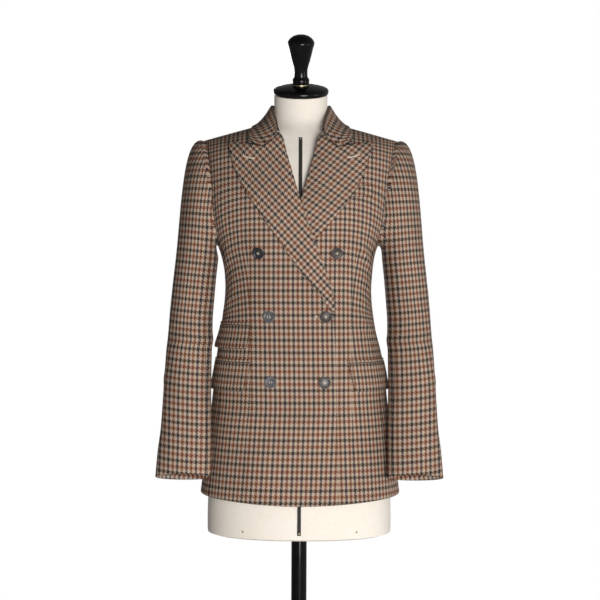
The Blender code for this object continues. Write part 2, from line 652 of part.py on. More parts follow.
def collar_path(station):
    """Points of the collar's middle surface at a station, from neckline to outer edge."""
    value = {name: smooth(COLLAR, station, k) for k, name in enumerate(COLLAR_COLUMNS)}
    neck = Vector((value["neck_x"], value["neck_y"], value["neck_z"]))
    fold = Vector((value["fold_x"], value["fold_y"], value["fold_z"]))
    inward = Vector((-fold.x, -fold.y, 0)).normalized()
    drop = Vector((0, 0, FOLD_RADIUS))
    stand_top = fold + inward * FOLD_RADIUS - drop
    fall_top = fold - inward * FOLD_RADIUS - drop
    edge = lying(value["edge_x"], value["edge_y"], CLOTH * 0.5 + LAYER * 2)
    straight_mid = fall_top.lerp(edge, 0.5)
    mid = lying(value["mid_x"], value["mid_y"], value["mid_out"])
    mid = mid.lerp(straight_mid - inward * 0.002, min(max(value["back"], 0.0), 1.0))
    path = [neck, neck.lerp(stand_top, 0.5), stand_top, fold, fall_top]
    from_gorge = 1 - ease(station, 0.0, 0.16)
    for k in range(1, 6):
        share = k / 5
        place = fall_top.lerp(edge, share) + (mid - straight_mid) * 4 * share * (1 - share)
        path.append(place.lerp(gorge_point(k, LEFT, CLOTH / 2, COLLAR_RISE), from_gorge))
    return path


def collar(name, finish):
    """Stand and fall as one folded wall from gorge to gorge."""
    half = [collar_path(k / COLLAR_STATIONS) for k in range(COLLAR_STATIONS + 1)]
    mirrored = [[Vector((-p.x, p.y, p.z)) for p in row] for row in half]
    grid = mirrored + half[-2::-1]
    rows, columns = len(grid), len(grid[0])
    outer, inner = [], []
    for r in range(rows):
        outer_row, inner_row = [], []
        for c in range(columns):
            along = grid[min(r + 1, rows - 1)][c] - grid[max(r - 1, 0)][c]
            over = grid[r][min(c + 1, columns - 1)] - grid[r][max(c - 1, 0)]
            normal = along.cross(over).normalized()
            outer_row.append(grid[r][c] + normal * CLOTH / 2)
            inner_row.append(grid[r][c] - normal * CLOTH / 2)
        outer.append(outer_row)
        inner.append(inner_row)
    return wall(name, outer, inner, finish)


# ------------------------------------------------------------------ sleeves
def sleeve_ring(height, turn, side):
    """Point of the sleeve's surface below the armhole, at a turn round it."""
    value = [smooth(SLEEVE, height, k) for k in range(1, 7)]
    middle_x, middle_y, half_x, half_y, tilt, twist = value
    seam_turn = turn
    if turn < 15:
        seam_turn += BACK_SEAM_TWIST * twist * (15 - turn) / (15 - UPPER_FROM)
    elif turn <= UPPER_TO:
        seam_turn += FRONT_SEAM_TWIST * twist * (turn - 15) / (UPPER_TO - 15)
    else:
        share = (turn - UPPER_TO) / (360 + UPPER_FROM - UPPER_TO)
        seam_turn += mix(FRONT_SEAM_TWIST, BACK_SEAM_TWIST, share) * twist
    angle = math.radians(seam_turn)
    c, s = math.cos(angle), math.sin(angle)
    power = 2 / SLEEVE_SQUARENESS
    x = middle_x + half_x * math.copysign(abs(c) ** power, c)
    forward = half_y * math.copysign(abs(s) ** power, s)
    lean = math.radians(tilt)
    return Vector((side * x, middle_y - forward * math.cos(lean), height + forward * math.sin(lean)))


def signed_turn(turn):
    """The same turn of a sleeve, counted from its back seam on."""
    turn = turn % 360
    return turn if turn <= 360 + UPPER_FROM else turn - 360


def sleeve_cap(share, turn, side):
    """Point between the armhole and the first ring: the head of the sleeve."""
    bearing, height = armhole(turn, side)
    start = skin(bearing, height)
    ahead = skin(*armhole(turn + 4, side)) - skin(*armhole(turn - 4, side))
    outside = torso_normal(bearing, height).cross(ahead).normalized() * side
    c, s = math.cos(math.radians(turn)), math.sin(math.radians(turn))
    start = start + outside * SEAM * 1.6
    top_share = max(c, 0.0)
    rise = HEAD_RISE * top_share + 0.30 * max(-c, 0.0)
    leave = Vector((side * (0.75 + 0.2 * abs(c)), -0.5 * s, rise)).normalized()
    first = SLEEVE[-1][0]
    end = sleeve_ring(first, signed_turn(turn), side)
    down = (sleeve_ring(first - 0.02, signed_turn(turn), side) - end).normalized()
    reach = (end - start).length
    leave_pull = reach * mix(1.0, HEAD_LEAVE, top_share)
    land_pull = reach * mix(1.0, HEAD_LAND, top_share)
    cube, square = share ** 3, share ** 2
    return (start * (2 * cube - 3 * square + 1) + leave * (cube - 2 * square + share) * leave_pull
            + end * (3 * square - 2 * cube) + down * (cube - square) * land_pull)


def sleeve_point(row, turn, side):
    """Row numbers below the count of cap rows are in the head, the rest are rings."""
    if row < len(CAP_ROWS):
        return sleeve_cap(CAP_ROWS[row], turn % 360, side)
    rings = [ring[0] for ring in SLEEVE][::-1]
    return sleeve_ring(rings[row - len(CAP_ROWS)], signed_turn(turn), side)


def sleeve_piece(name, side, first, last, finish):
    """One of the two pieces of a sleeve, between two turns."""
    count = len(CAP_ROWS) + len(SLEEVE)
    turns = list(range(first - TURN_STEP, last + TURN_STEP + 1, TURN_STEP))
    grid = [[sleeve_point(row, turn, side) for turn in turns] for row in range(count)]
    outer, inner = [], []
    for r in range(count):
        outer_row, inner_row = [], []
        for c in range(1, len(turns) - 1):
            around = grid[r][c + 1] - grid[r][c - 1]
            down = grid[min(r + 1, count - 1)][c] - grid[max(r - 1, 0)][c]
            normal = around.cross(down).normalized() * side
            outer_row.append(grid[r][c])
            inner_row.append(grid[r][c] - normal * CLOTH)
        outer.append(outer_row)
        inner.append(inner_row)
    seams = ("first", "last")
    return wall(name, pull_in(outer, seams), pull_in(inner, seams), finish)


# ------------------------------------------------------- pockets and buttons
def patch(name, places, out, finish, across_wall=CLOTH):
    """A wall on the torso from rows of (bearing, height, extra distance out)."""
    outer = [[on_torso(b, h, out + e + across_wall) for b, h, e in row] for row in places]
    inner = [[on_torso(b, h, out + e) for b, h, e in row] for row in places]
    return wall(name, outer, inner, finish)


def flap(name, jet_name, key, side, finish):
    """A pocket flap that hangs from its jetting."""
    front_x, end_bearing, top, depth, slant, hang = FLAPS[key]
    columns = 10
    rows = []
    for share in (0.0, 0.3, 0.65, 1.0):
        height = top - depth * share
        first = bearing_at(side * (front_x + slant * share), height)
        row = []
        for k in range(columns + 1):
            bearing = mix(first, side * end_bearing, k / columns)
            corner = 0.0035 * (1 if share == 1.0 and k in (0, columns) else 0)
            x = skin(bearing, height).x
            row.append((bearing, height + corner, base_out(x, height, side) + hang * share ** 1.5))
        rows.append(row)
    patch(name, rows, LAYER, finish)
    strip = []
    for height in (top + SEAM, top + SEAM + JETTING):
        first = bearing_at(side * (front_x - 0.001), height)
        bearings = [mix(first, side * (end_bearing + 0.5), k / columns) for k in range(columns + 1)]
        strip.append([(b, height, base_out(skin(b, height).x, height, side)) for b in bearings])
    patch(jet_name, strip, LAYER, finish, CLOTH * 0.9)


def breast_welt(name, finish):
    inner_x, outer_x, base, tall, rise = BREAST_WELT
    rows = []
    for share in (0.0, 1.0):
        row = []
        for k in range(8):
            x = mix(inner_x, outer_x, k / 7)
            height = base + tall * share + rise * k / 7
            row.append((bearing_at(x, height), height, 0.0))
        rows.append(row)
    patch(name, rows, LAYER * 1.5, finish, 0.0010)


def button(name, centre, normal, radius, finish, around=12):
    """A turned button with a raised rim and a dished face."""
    profile = ((0.80, 0.0), (1.0, 0.09), (1.0, 0.20), (0.90, 0.30), (0.72, 0.27), (0.55, 0.17))
    side = normal.cross(Vector((0, 0, 1))).normalized()
    up = side.cross(normal).normalized()
    points, faces = [], []
    for share, tall in profile:
        for k in range(around):
            turn = math.tau * k / around
            points.append(centre + normal * (tall * radius)
                          + (side * math.cos(turn) + up * math.sin(turn)) * (share * radius))
    for row in range(len(profile) - 1):
        for k in range(around):
            after = (k + 1) % around
            faces.append([row * around + k, row * around + after,
                          (row + 1) * around + after, (row + 1) * around + k])
    faces.append(list(range(around))[::-1])
    faces.append([(len(profile) - 1) * around + k for k in range(around)])
    return make_object(name, points, faces, finish)


def front_buttons(finish):
    for number, (x, height, layer) in enumerate(BUTTONS, 1):
        bearing = bearing_at(x, height)
        lift = upper_lift(x, height) if layer == "upper" else 0.0
        centre = on_torso(bearing, height, lift + 0.0008)
        button(f"button_{number}", centre, torso_normal(bearing, height), BUTTON_RADIUS, finish)


def cuff_buttons(finish):
    for side, side_name in ((RIGHT, "right"), (LEFT, "left")):
        for number, height in enumerate(CUFF_BUTTON_HEIGHTS, 1):
            turn = UPPER_FROM + 13
            here = sleeve_ring(height, turn, side)
            around = sleeve_ring(height, turn + 3, side) - sleeve_ring(height, turn - 3, side)
            down = sleeve_ring(height - 0.004, turn, side) - sleeve_ring(height + 0.004, turn, side)
            normal = around.cross(down).normalized() * side
            button(f"cuff_button_{side_name}_{number}", here + normal * 0.0009, normal,
                   CUFF_BUTTON_RADIUS, finish, 8)


# --------------------------------------------------------------- dress form
def form_point(ring, turn):
    side_z, front_z, back_z, wide, front, back, square = ring
    c, s = math.cos(turn), math.sin(turn)
    power = 2 / square
    x = wide * math.copysign(abs(s) ** power, s)
    y = -math.copysign(abs(c) ** power, c) * (front if c > 0 else back)
    towards = front_z if c > 0 else back_z
    return Vector((x, y, mix(side_z, towards, abs(c) ** power)))


def dress_form(name, finish):
    around = FORM_COLUMNS_AROUND
    points, faces = [], []
    for ring in FORM:
        points += [form_point(ring, math.tau * k / around) for k in range(around)]
    for row in range(len(FORM) - 1):
        for k in range(around):
            after = (k + 1) % around
            faces.append([row * around + k, row * around + after,
                          (row + 1) * around + after, (row + 1) * around + k])
    faces.append(list(range(around))[::-1])
    faces.append([(len(FORM) - 1) * around + k for k in range(around)])
    return make_object(name, points, faces, finish)


def form_front(height):
    """Depth of the form's front at the middle, at a height."""
    rows = tuple((ring[1], ring[4]) for ring in FORM)
    return smooth(rows, height, 1)


def centre_tape(name, finish):
    outer, inner = [], []
    for k in range(TAPE_ROWS + 1):
        height = mix(TAPE_BOTTOM, TAPE_TOP, k / TAPE_ROWS)
        slope = (form_front(height + 0.004) - form_front(height - 0.004)) / 0.008
        normal = Vector((0, -1, slope * -1)).normalized()
        place = Vector((0, -form_front(height), height)) + normal * 0.0009
        outer.append([place + normal * TAPE_DEPTH + Vector((x, 0, 0)) for x in (-TAPE_WIDTH / 2, TAPE_WIDTH / 2)])
        inner.append([place + Vector((x, 0, 0)) for x in (-TAPE_WIDTH / 2, TAPE_WIDTH / 2)])
    wall(name, outer, inner, finish)


def form_facet(x, height):
    """Point and outward direction of the form's front facet at an x and height."""
    below = max(k for k, ring in enumerate(FORM) if ring[0] <= height)
    share = (height - FORM[below][0]) / (FORM[below + 1][0] - FORM[below][0])
    ring = [mix(a, b, share) for a, b in zip(FORM[below], FORM[below + 1])]
    turns = [math.tau * k / FORM_COLUMNS_AROUND for k in range(-7, 8)]
    corners = [form_point(ring, turn) for turn in turns]
    for a, b in zip(corners, corners[1:]):
        if a.x <= x <= b.x:
            along = b - a
            return a.lerp(b, (x - a.x) / along.x), Vector((along.y, -along.x, 0)).normalized()


def tacks(finish):
    """Domed tacks in the form's lower edge; the middle one goes through the tape."""
    up = Vector((0, 0, 1))
    around = 10
    for number, x in enumerate(TACKS, 1):
        place, normal = form_facet(x, TACK_HEIGHT)
        centre = place + normal * (0.0022 if x == 0 else 0.0004)
        side = normal.cross(up)
        points, faces = [], []
        for share, tall in ((1.0, 0.0), (0.85, 0.35), (0.45, 0.55)):
            for k in range(around):
                turn = math.tau * k / around
                points.append(centre + normal * (tall * TACK_RADIUS)
                              + (side * math.cos(turn) + up * math.sin(turn)) * (share * TACK_RADIUS))
        for row in range(2):
            for k in range(around):
                after = (k + 1) % around
                faces.append([row * around + k, row * around + after,
                              (row + 1) * around + after, (row + 1) * around + k])
        faces.append(list(range(around))[::-1])
        faces.append([2 * around + k for k in range(around)])
        make_object(f"tack_{number}", points, faces, finish)


# ----------------------------------------------------------------- assembly
def main():
    for old in list(bpy.data.objects):
        bpy.data.objects.remove(old, do_unlink=True)
    check = material("checked_wool", (0.33, 0.25, 0.19), 0.9)
    horn = material("horn", (0.09, 0.08, 0.08), 0.35)
    linen = material("cream_linen", (0.80, 0.75, 0.68), 0.85)
    dark_tape = material("dark_tape", (0.05, 0.045, 0.045), 0.7)
    brass = material("brass", (0.60, 0.45, 0.20), 0.3, 1.0)
    black = material("black_wood", (0.01, 0.01, 0.012), 0.15)

    front_panel("front_right", RIGHT, check)
    front_panel("front_left", LEFT, check)
    side_panel("side_right", RIGHT, check)
    side_panel("side_left", LEFT, check)
    back_panel("back_right", RIGHT, check)
    back_panel("back_left", LEFT, check)
    lapel("lapel_right", RIGHT, check)
    lapel("lapel_left", LEFT, check)
    collar("collar", check)
    for side, side_name in ((RIGHT, "right"), (LEFT, "left")):
        sleeve_piece(f"sleeve_{side_name}_upper", side, UPPER_FROM, UPPER_TO, check)
        sleeve_piece(f"sleeve_{side_name}_under", side, UPPER_TO, 360 + UPPER_FROM, check)
    flap("flap_right", "jet_right", "right", RIGHT, check)
    flap("flap_left", "jet_left", "left", LEFT, check)
    flap("flap_ticket", "jet_ticket", "ticket", RIGHT, check)
    breast_welt("breast_welt", check)
    front_buttons(horn)
    cuff_buttons(horn)

    dress_form("form_body", linen)
    centre_tape("centre_tape", dark_tape)
    tacks(brass)
    neck = Vector((0, 0, NECK_TOP))
    turned("neck_cap", CAP_PROFILE, black, NECK_TILT, neck)
    turned("cap_ring", CAP_RING_PROFILE, brass, NECK_TILT, neck, 16)
    turned("handle", HANDLE_PROFILE, black, NECK_TILT, neck, 16)
    turned("pole", ((POLE_RADIUS, POLE_FOOT), (POLE_RADIUS, FORM[0][0] - SEAM)), black, around=16)
    turned("base", BASE_PROFILE, black, around=36)


main()
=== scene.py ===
"""Looks of a double-breasted check blazer on a dress form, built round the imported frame.

Metres, +Z up, the front faces -Y and the wearer's right is -X. Each panel of the blazer
is laid again, finely, on the same torso surface as the solid that it stands for.
"""

import functools
import math

import bpy
from mathutils import Matrix, Vector


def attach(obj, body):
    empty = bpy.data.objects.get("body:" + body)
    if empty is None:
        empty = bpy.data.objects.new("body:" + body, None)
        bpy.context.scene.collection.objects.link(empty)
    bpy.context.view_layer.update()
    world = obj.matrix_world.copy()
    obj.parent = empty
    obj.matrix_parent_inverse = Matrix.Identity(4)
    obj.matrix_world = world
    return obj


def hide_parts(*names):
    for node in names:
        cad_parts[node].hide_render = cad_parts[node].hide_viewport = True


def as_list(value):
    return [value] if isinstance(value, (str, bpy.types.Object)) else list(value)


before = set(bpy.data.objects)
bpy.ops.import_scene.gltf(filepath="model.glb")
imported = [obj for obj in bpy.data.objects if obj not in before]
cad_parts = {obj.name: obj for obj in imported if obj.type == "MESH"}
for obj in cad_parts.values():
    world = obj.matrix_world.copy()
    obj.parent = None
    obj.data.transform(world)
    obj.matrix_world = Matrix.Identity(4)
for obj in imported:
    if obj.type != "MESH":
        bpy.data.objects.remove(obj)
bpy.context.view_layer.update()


# ---------------------------------------------------------------- dimensions
CLOTH = 0.0016          # thickness of one wall of cloth
SEAM = 0.0003           # gap between neighbours
LAYER = 0.0006          # gap between cloth layers that lie on each other
RIGHT, LEFT = -1, 1     # the wearer's sides, as signs of x
SIDES = ((RIGHT, "right"), (LEFT, "left"))

# Torso of the blazer at each height: half width, depth in front and behind,
# squareness of the section, and how far its middle sways to one side.
TORSO = (
    (0.42, 0.186, 0.1385, 0.131, 2.45, 0.0015), (0.5, 0.176, 0.131, 0.1265, 2.45, 0.001),
    (0.56, 0.168, 0.126, 0.1225, 2.45, 0.0005), (0.62, 0.1605, 0.1215, 0.117, 2.45, 0.0),
    (0.66, 0.157, 0.1185, 0.1115, 2.45, 0.0), (0.7, 0.1505, 0.114, 0.104, 2.45, -0.0015),
    (0.74, 0.1425, 0.1085, 0.096, 2.45, -0.0035), (0.8, 0.135, 0.1045, 0.0905, 2.45, -0.0035),
    (0.84, 0.1362, 0.1085, 0.093, 2.45, -0.003), (0.87, 0.1408, 0.115, 0.097, 2.5, -0.004),
    (0.89, 0.147, 0.12, 0.1, 2.55, -0.0045), (0.93, 0.163, 0.1255, 0.1055, 2.65, -0.0035),
    (0.97, 0.17, 0.1225, 0.109, 2.7, -0.003), (1.02, 0.1735, 0.109, 0.105, 2.7, -0.0015),
    (1.07, 0.177, 0.0915, 0.089, 2.6, 0.0), (1.12, 0.1825, 0.074, 0.066, 2.5, 0.0))

RIDGE_HEIGHT, RIDGE_TIP = 1.0845, 0.1785    # shoulder tip: height, and distance from the middle
RIDGE_SLOPE = 0.275     # rise of the ridge towards the neck
RIDGE_Y = 0.004         # where the shoulder seam runs, front to back
ROLL_OVER = 0.050       # height over which the shoulder rounds off

# Folds pressed out of the cloth: from one end to the other (bearing from the front
# in degrees, height), half width and depth. The solids have the first nine.
FOLDS = (
    (52.0, 0.888, 74.0, 0.846, 0.007, 0.0028), (55.0, 0.765, 78.0, 0.716, 0.008, 0.0024),
    (60.0, 0.838, 80.0, 0.8, 0.008, 0.0018), (-58.0, 0.88, -76.0, 0.842, 0.008, 0.0024),
    (-60.0, 0.806, -80.0, 0.77, 0.008, 0.002), (122.0, 0.86, 100.0, 0.82, 0.009, 0.0024),
    (-124.0, 0.855, -101.0, 0.815, 0.009, 0.0024), (150.0, 0.79, 118.0, 0.775, 0.009, 0.0022),
    (-150.0, 0.795, -119.0, 0.778, 0.009, 0.0022), (50.0, 0.905, 62.0, 0.862, 0.004, 0.001),
    (58.0, 0.872, 70.0, 0.838, 0.0045, 0.0012), (52.0, 0.742, 66.0, 0.706, 0.004, 0.0011),
    (60.0, 0.73, 74.0, 0.69, 0.004, -0.0009), (54.0, 0.802, 68.0, 0.786, 0.005, 0.0009),
    (-52.0, 0.85, -64.0, 0.822, 0.005, 0.001), (-54.0, 0.785, -66.0, 0.77, 0.005, 0.0009),
    (-60.0, 0.9, -66.0, 0.862, 0.004, 0.001), (60.0, 0.985, 56.0, 0.925, 0.006, 0.0012),
    (-60.0, 0.985, -56.0, 0.925, 0.006, 0.0012), (128.0, 0.812, 150.0, 0.8, 0.007, 0.0012),
    (-128.0, 0.812, -150.0, 0.8, 0.007, 0.0012), (125.0, 0.77, 148.0, 0.752, 0.007, 0.001),
    (-125.0, 0.772, -148.0, 0.754, 0.007, 0.001), (118.0, 0.96, 128.0, 0.905, 0.008, 0.0016),
    (-118.0, 0.96, -128.0, 0.905, 0.008, 0.0016))
AROUND = 0.0024         # metres along the torso for each degree of bearing

HEM_SIDE, HEM_DIP = 0.438, 0.010    # hem height at the side seams, and its dip in front and behind
HEM_FADE = 0.620        # height above which rows are level
# How far the upper front laps past the middle at each height; from the break up, the roll line.
FRONT_EDGE = (
    (0.42, 0.0692), (0.5, 0.0682), (0.6, 0.0662), (0.69, 0.064), (0.735, 0.0618), (0.773, 0.0586), (0.811, 0.0536),
    (0.847, 0.0412), (0.876, 0.0307), (0.9225, 0.014), (0.9637, 0.0), (0.995, -0.0095), (1.03, -0.0195),
    (1.053, -0.0262), (1.069, -0.03), (1.0854, -0.0345), (1.1, -0.045), (1.115, -0.064))
NECK_POINT = (0.0640, 1.1160)       # where neckline and shoulder seam meet: x, height
BACK_NECK = 1.1120      # height of the back panels at the middle
BREAK = 0.773           # height where the lapels start to turn
# Rows of the panels below the armhole.
LOW_ROWS = (
    0.438, 0.476, 0.514, 0.552, 0.59, 0.625, 0.66, 0.69, 0.72, 0.748, 0.773, 0.797, 0.82, 0.843, 0.864, 0.882, 0.9)
# Armhole, once round the sleeve from the shoulder tip over the front: turn, height, bearing.
ARMHOLE = (
    (0.0, 1.0845, 90.0), (15.0, 1.0785, 79.5), (30.0, 1.06, 77.0), (60.0, 1.015, 69.8), (90.0, 0.965, 66.4),
    (120.0, 0.925, 67.1), (150.0, 0.9, 71.5), (165.0, 0.893, 80.0), (180.0, 0.8905, 90.0), (195.0, 0.893, 98.0),
    (210.0, 0.9, 105.0), (225.0, 0.912, 110.0), (240.0, 0.928, 112.5), (270.0, 0.97, 113.0), (300.0, 1.02, 110.0),
    (330.0, 1.062, 102.0), (345.0, 1.079, 98.5), (360.0, 1.0845, 90.0))
FRONT_JOIN, BACK_JOIN = 150, 225    # turns where the side body's seams meet it
TURN_STEP = 3           # spacing of the armhole's points
# Bearings of the side body's two seams down the torso.
SIDE_SEAMS = (
    (0.438, 66.0, 113.0), (0.56, 66.0, 114.0), (0.69, 65.0, 117.0), (0.8, 65.0, 119.0), (0.864, 68.0, 115.0),
    (0.9, 71.5, 110.0))

# Lapels: outer edge of the upper and the lower one at each height.
LAPEL = (
    (0.773, -0.0525, -0.0525), (0.8104, -0.0311, -0.037), (0.837, -0.0086, -0.018), (0.8655, 0.0119, 0.001),
    (0.896, 0.0335, 0.024), (0.92, 0.05, 0.043), (0.951, 0.07, 0.0675), (0.986, 0.0915, 0.0905),
    (1.0265, 0.112, 0.111), (1.05, 0.1225, 0.12), (1.068, 0.13, 0.127), (1.0765, 0.1306, 0.129))
# Top edge of a lapel, from the roll line along the gorge to the peak's tip.
GORGE = (
    (0.0372, 1.094), (0.0465, 1.0825), (0.056, 1.0735), (0.0665, 1.0668), (0.08, 1.0685), (0.0947, 1.0705),
    (0.1306, 1.0765))
LAPEL_TOP_FADE = 1.045  # height above which rows bend to follow the gorge
BELLY, LAPEL_LIFT = 0.0030, 0.0024  # how far a lapel's middle and its outer edge stand off
LAPEL_CURL = 0.0009     # how much further the last quarter of its width lifts
# Collar stations from the gorge to the back: point of the neckline, point of the fold,
# x, y and standing-off of its middle, x and y of its outer edge, share of the back's shape.
COLLAR = (
    (0.0, 0.036, -0.068, 1.099, 0.0385, -0.0735, 1.1035, 0.0665, -0.0897, 0.003, 0.0947, -0.0807, 0.0),
    (0.18, 0.0465, -0.044, 1.106, 0.045, -0.049, 1.1205, 0.07, -0.0644, 0.004, 0.093, -0.058, 0.0),
    (0.34, 0.057, -0.021, 1.1165, 0.051, -0.0215, 1.1385, 0.07, -0.0275, 0.006, 0.09, -0.029, 0.0),
    (0.5, 0.061, 0.004, 1.12, 0.0535, 0.008, 1.15, 0.069, 0.008, 0.009, 0.087, 0.008, 0.3),
    (0.66, 0.052, 0.032, 1.12, 0.047, 0.037, 1.1505, 0.06, 0.04, 0.012, 0.074, 0.041, 1.0),
    (0.82, 0.03, 0.048, 1.118, 0.0275, 0.054, 1.149, 0.034, 0.06, 0.012, 0.042, 0.062, 1.0),
    (1.0, 0.0, 0.054, 1.117, 0.0, 0.0595, 1.148, 0.0, 0.068, 0.012, 0.0, 0.072, 1.0))
COLLAR_STATIONS = 36    # per half
COLLAR_FRONT_MOVE = Vector((0.0022, 0, -0.0016))    # how far the stand's front ends are moved
COLLAR_RISE = 0.0012    # gap between the collar's end and the gorge
FOLD_RADIUS = 0.0024    # half the thickness of the collar at its fold

# Sleeve below the armhole: height, middle of each ring, its half sizes, how far its
# back hangs below level in degrees, and share of the seams' wander.
SLEEVE = (
    (0.4747, 0.208, -0.0985, 0.0505, 0.033, 16.0, 1.0), (0.52, 0.2066, -0.088, 0.0485, 0.037, 15.5, 0.85),
    (0.558, 0.2049, -0.0775, 0.0459, 0.0405, 15.0, 0.7), (0.6, 0.2043, -0.0665, 0.0441, 0.044, 14.0, 0.55),
    (0.646, 0.2036, -0.0535, 0.0428, 0.0475, 12.5, 0.4), (0.697, 0.2025, -0.036, 0.0416, 0.0525, 10.0, 0.28),
    (0.727, 0.2012, -0.022, 0.0406, 0.056, 8.5, 0.2), (0.758, 0.2003, -0.0145, 0.0397, 0.0585, 7.0, 0.15),
    (0.79, 0.198, -0.0085, 0.0396, 0.061, 5.0, 0.1), (0.83, 0.1945, -0.003, 0.0392, 0.064, 3.0, 0.05),
    (0.865, 0.1908, 0.0, 0.0392, 0.0655, 0.0, 0.0))
SLEEVE_SQUARENESS = 2.15
HEAD_RISE, UNDERARM_RISE = 0.36, 0.30   # how steeply the head leaves the shoulder tip and the underarm
HEAD_LEAVE, HEAD_LAND = 0.58, 1.22      # fullness of the head where it leaves and lands
UPPER_FROM, UPPER_TO, SEAM_REST = -105, 135, 15     # turns of the two seams, and of no wander between
BACK_SEAM_TWIST, FRONT_SEAM_TWIST = 50.0, 15.0      # how far those seams wander at the cuff
SLEEVE_AROUND = 0.0009  # metres round a sleeve for each degree of turn
# Folds of each sleeve in the same terms, with turns in place of bearings.
SLEEVE_FOLDS = {
    RIGHT: (
        (70.0, 0.755, 20.0, 0.728, 0.006, 0.0016), (120.0, 0.742, 70.0, 0.712, 0.006, 0.0018),
        (40.0, 0.7, 100.0, 0.684, 0.007, 0.0014), (110.0, 0.668, 60.0, 0.64, 0.007, 0.0013),
        (60.0, 0.6, 110.0, 0.585, 0.008, 0.0012), (30.0, 0.82, 80.0, 0.8, 0.009, 0.0013),
        (70.0, 0.88, 110.0, 0.85, 0.008, 0.0014), (-60.0, 0.73, -10.0, 0.7, 0.008, 0.0016),
        (200.0, 0.73, 150.0, 0.705, 0.007, 0.0018), (-20.0, 0.66, 20.0, 0.64, 0.008, 0.0012)),
    LEFT: (
        (70.0, 0.76, 120.0, 0.735, 0.006, 0.0018), (30.0, 0.742, 80.0, 0.716, 0.006, 0.0015),
        (120.0, 0.7, 70.0, 0.68, 0.007, 0.0015), (50.0, 0.65, 100.0, 0.63, 0.007, 0.0013),
        (100.0, 0.56, 50.0, 0.545, 0.008, 0.0012), (60.0, 0.83, 20.0, 0.805, 0.009, 0.0013),
        (110.0, 0.89, 70.0, 0.855, 0.008, 0.0014), (-60.0, 0.735, -10.0, 0.705, 0.008, 0.0016),
        (200.0, 0.728, 150.0, 0.706, 0.007, 0.0018), (-20.0, 0.655, 20.0, 0.64, 0.008, 0.0012)),
}

# Pocket flaps: front x, bearing of the outer end, top, depth, slant, how far the foot hangs off.
FLAPS = {
    "right": (0.085, 88.0, 0.681, 0.052, 0.012, 0.003),
    "left": (0.085, 86.0, 0.681, 0.052, 0.012, 0.0022),
    "ticket": (0.087, 84.0, 0.7474, 0.043, 0.0045, 0.0042),
}
FLAP_CORNER = 0.007     # radius of a flap's lower corners
JETTING, JETTING_PUFF = 0.0045, 0.0003      # height of the strip above a flap, and its swell
# Breast pocket's welt: inner and outer x, foot, height, rise outwards.
BREAST_WELT = (0.036, 0.129, 0.9755, 0.02, 0.0035)
# Front buttons: x, height and which layer carries them.
BUTTONS = (
    (-0.0732, 0.8765, "upper"), (0.0651, 0.8756, "lower"), (-0.0544, 0.7624, "upper"), (0.045, 0.7627, "upper"),
    (-0.0511, 0.6471, "upper"), (0.0441, 0.6464, "upper"))
BUTTON_RADIUS, CUFF_BUTTON_RADIUS = 0.0107, 0.0072
TOP_BUTTON_RISE = 0.0018    # how much higher the top pair sits than the solids'
CUFF_BUTTON_HEIGHTS = (0.492, 0.509, 0.526)
# A button of radius 1, as (radius, height), and its four holes.
BUTTON_PROFILE = (
    (0.78, 0.0), (0.93, 0.03), (1.0, 0.1), (1.0, 0.2), (0.95, 0.28), (0.87, 0.3), (0.78, 0.275), (0.66, 0.2),
    (0.5, 0.175), (0.3, 0.17), (0.12, 0.17))
HOLE_OFFSET, HOLE_RADIUS = 0.20, 0.075
# Ends of each lapel's keyhole as (x, height); buttonholes as (x, x, height); half lengths of their
# stitches, and radii of the threads.
KEYHOLES = {RIGHT: ((0.101, 1.049), (0.0805, 1.044)), LEFT: ((0.084, 1.0465), (0.1035, 1.0525))}
BUTTONHOLES = ((0.0282, 0.057, 0.764), (0.0282, 0.0565, 0.648))
STITCH_HALF, BAR_HALF = 0.0011, 0.0015
KEYHOLE_THREAD, BUTTONHOLE_THREAD, BAR_THREAD = 0.00042, 0.00036, 0.00050

# Dress form rings from its bottom plate to the top of the neck: height at the side, in
# front and behind, half width, depth in front and behind, squareness.
FORM = (
    (0.362, 0.362, 0.362, 0.16, 0.112, 0.108, 2.3), (0.365, 0.365, 0.365, 0.1662, 0.1172, 0.1132, 2.3),
    (0.372, 0.372, 0.372, 0.1695, 0.12, 0.116, 2.3), (0.44, 0.44, 0.44, 0.168, 0.1205, 0.116, 2.3),
    (0.51, 0.51, 0.51, 0.162, 0.1175, 0.114, 2.3), (0.58, 0.58, 0.58, 0.1545, 0.113, 0.109, 2.3),
    (0.65, 0.65, 0.65, 0.146, 0.107, 0.101, 2.3), (0.72, 0.72, 0.72, 0.133, 0.099, 0.089, 2.3),
    (0.79, 0.79, 0.79, 0.122, 0.0935, 0.08, 2.3), (0.84, 0.84, 0.84, 0.124, 0.0975, 0.082, 2.3),
    (0.885, 0.885, 0.885, 0.132, 0.108, 0.089, 2.35), (0.93, 0.93, 0.93, 0.144, 0.115, 0.0945, 2.4),
    (0.975, 0.975, 0.975, 0.152, 0.111, 0.0975, 2.45), (1.02, 1.015, 1.015, 0.157, 0.098, 0.0955, 2.45),
    (1.056, 1.048, 1.048, 0.158, 0.084, 0.086, 2.4), (1.076, 1.068, 1.068, 0.152, 0.073, 0.076, 2.35),
    (1.0905, 1.082, 1.084, 0.13, 0.065, 0.066, 2.3), (1.099, 1.093, 1.096, 0.1, 0.059, 0.058, 2.2),
    (1.105, 1.101, 1.106, 0.076, 0.054, 0.052, 2.1), (1.111, 1.109, 1.113, 0.059, 0.05, 0.048, 2.0),
    (1.122, 1.118, 1.126, 0.0518, 0.047, 0.0475, 2.0), (1.14, 1.132, 1.148, 0.0492, 0.046, 0.048, 2.0),
    (1.17, 1.1567, 1.1841, 0.049, 0.0465, 0.049, 2.0))
TAPE_WIDTH, TAPE_DEPTH = 0.0065, 0.0008
TAPE_TOP, TAPE_BOTTOM = 1.086, 0.3735
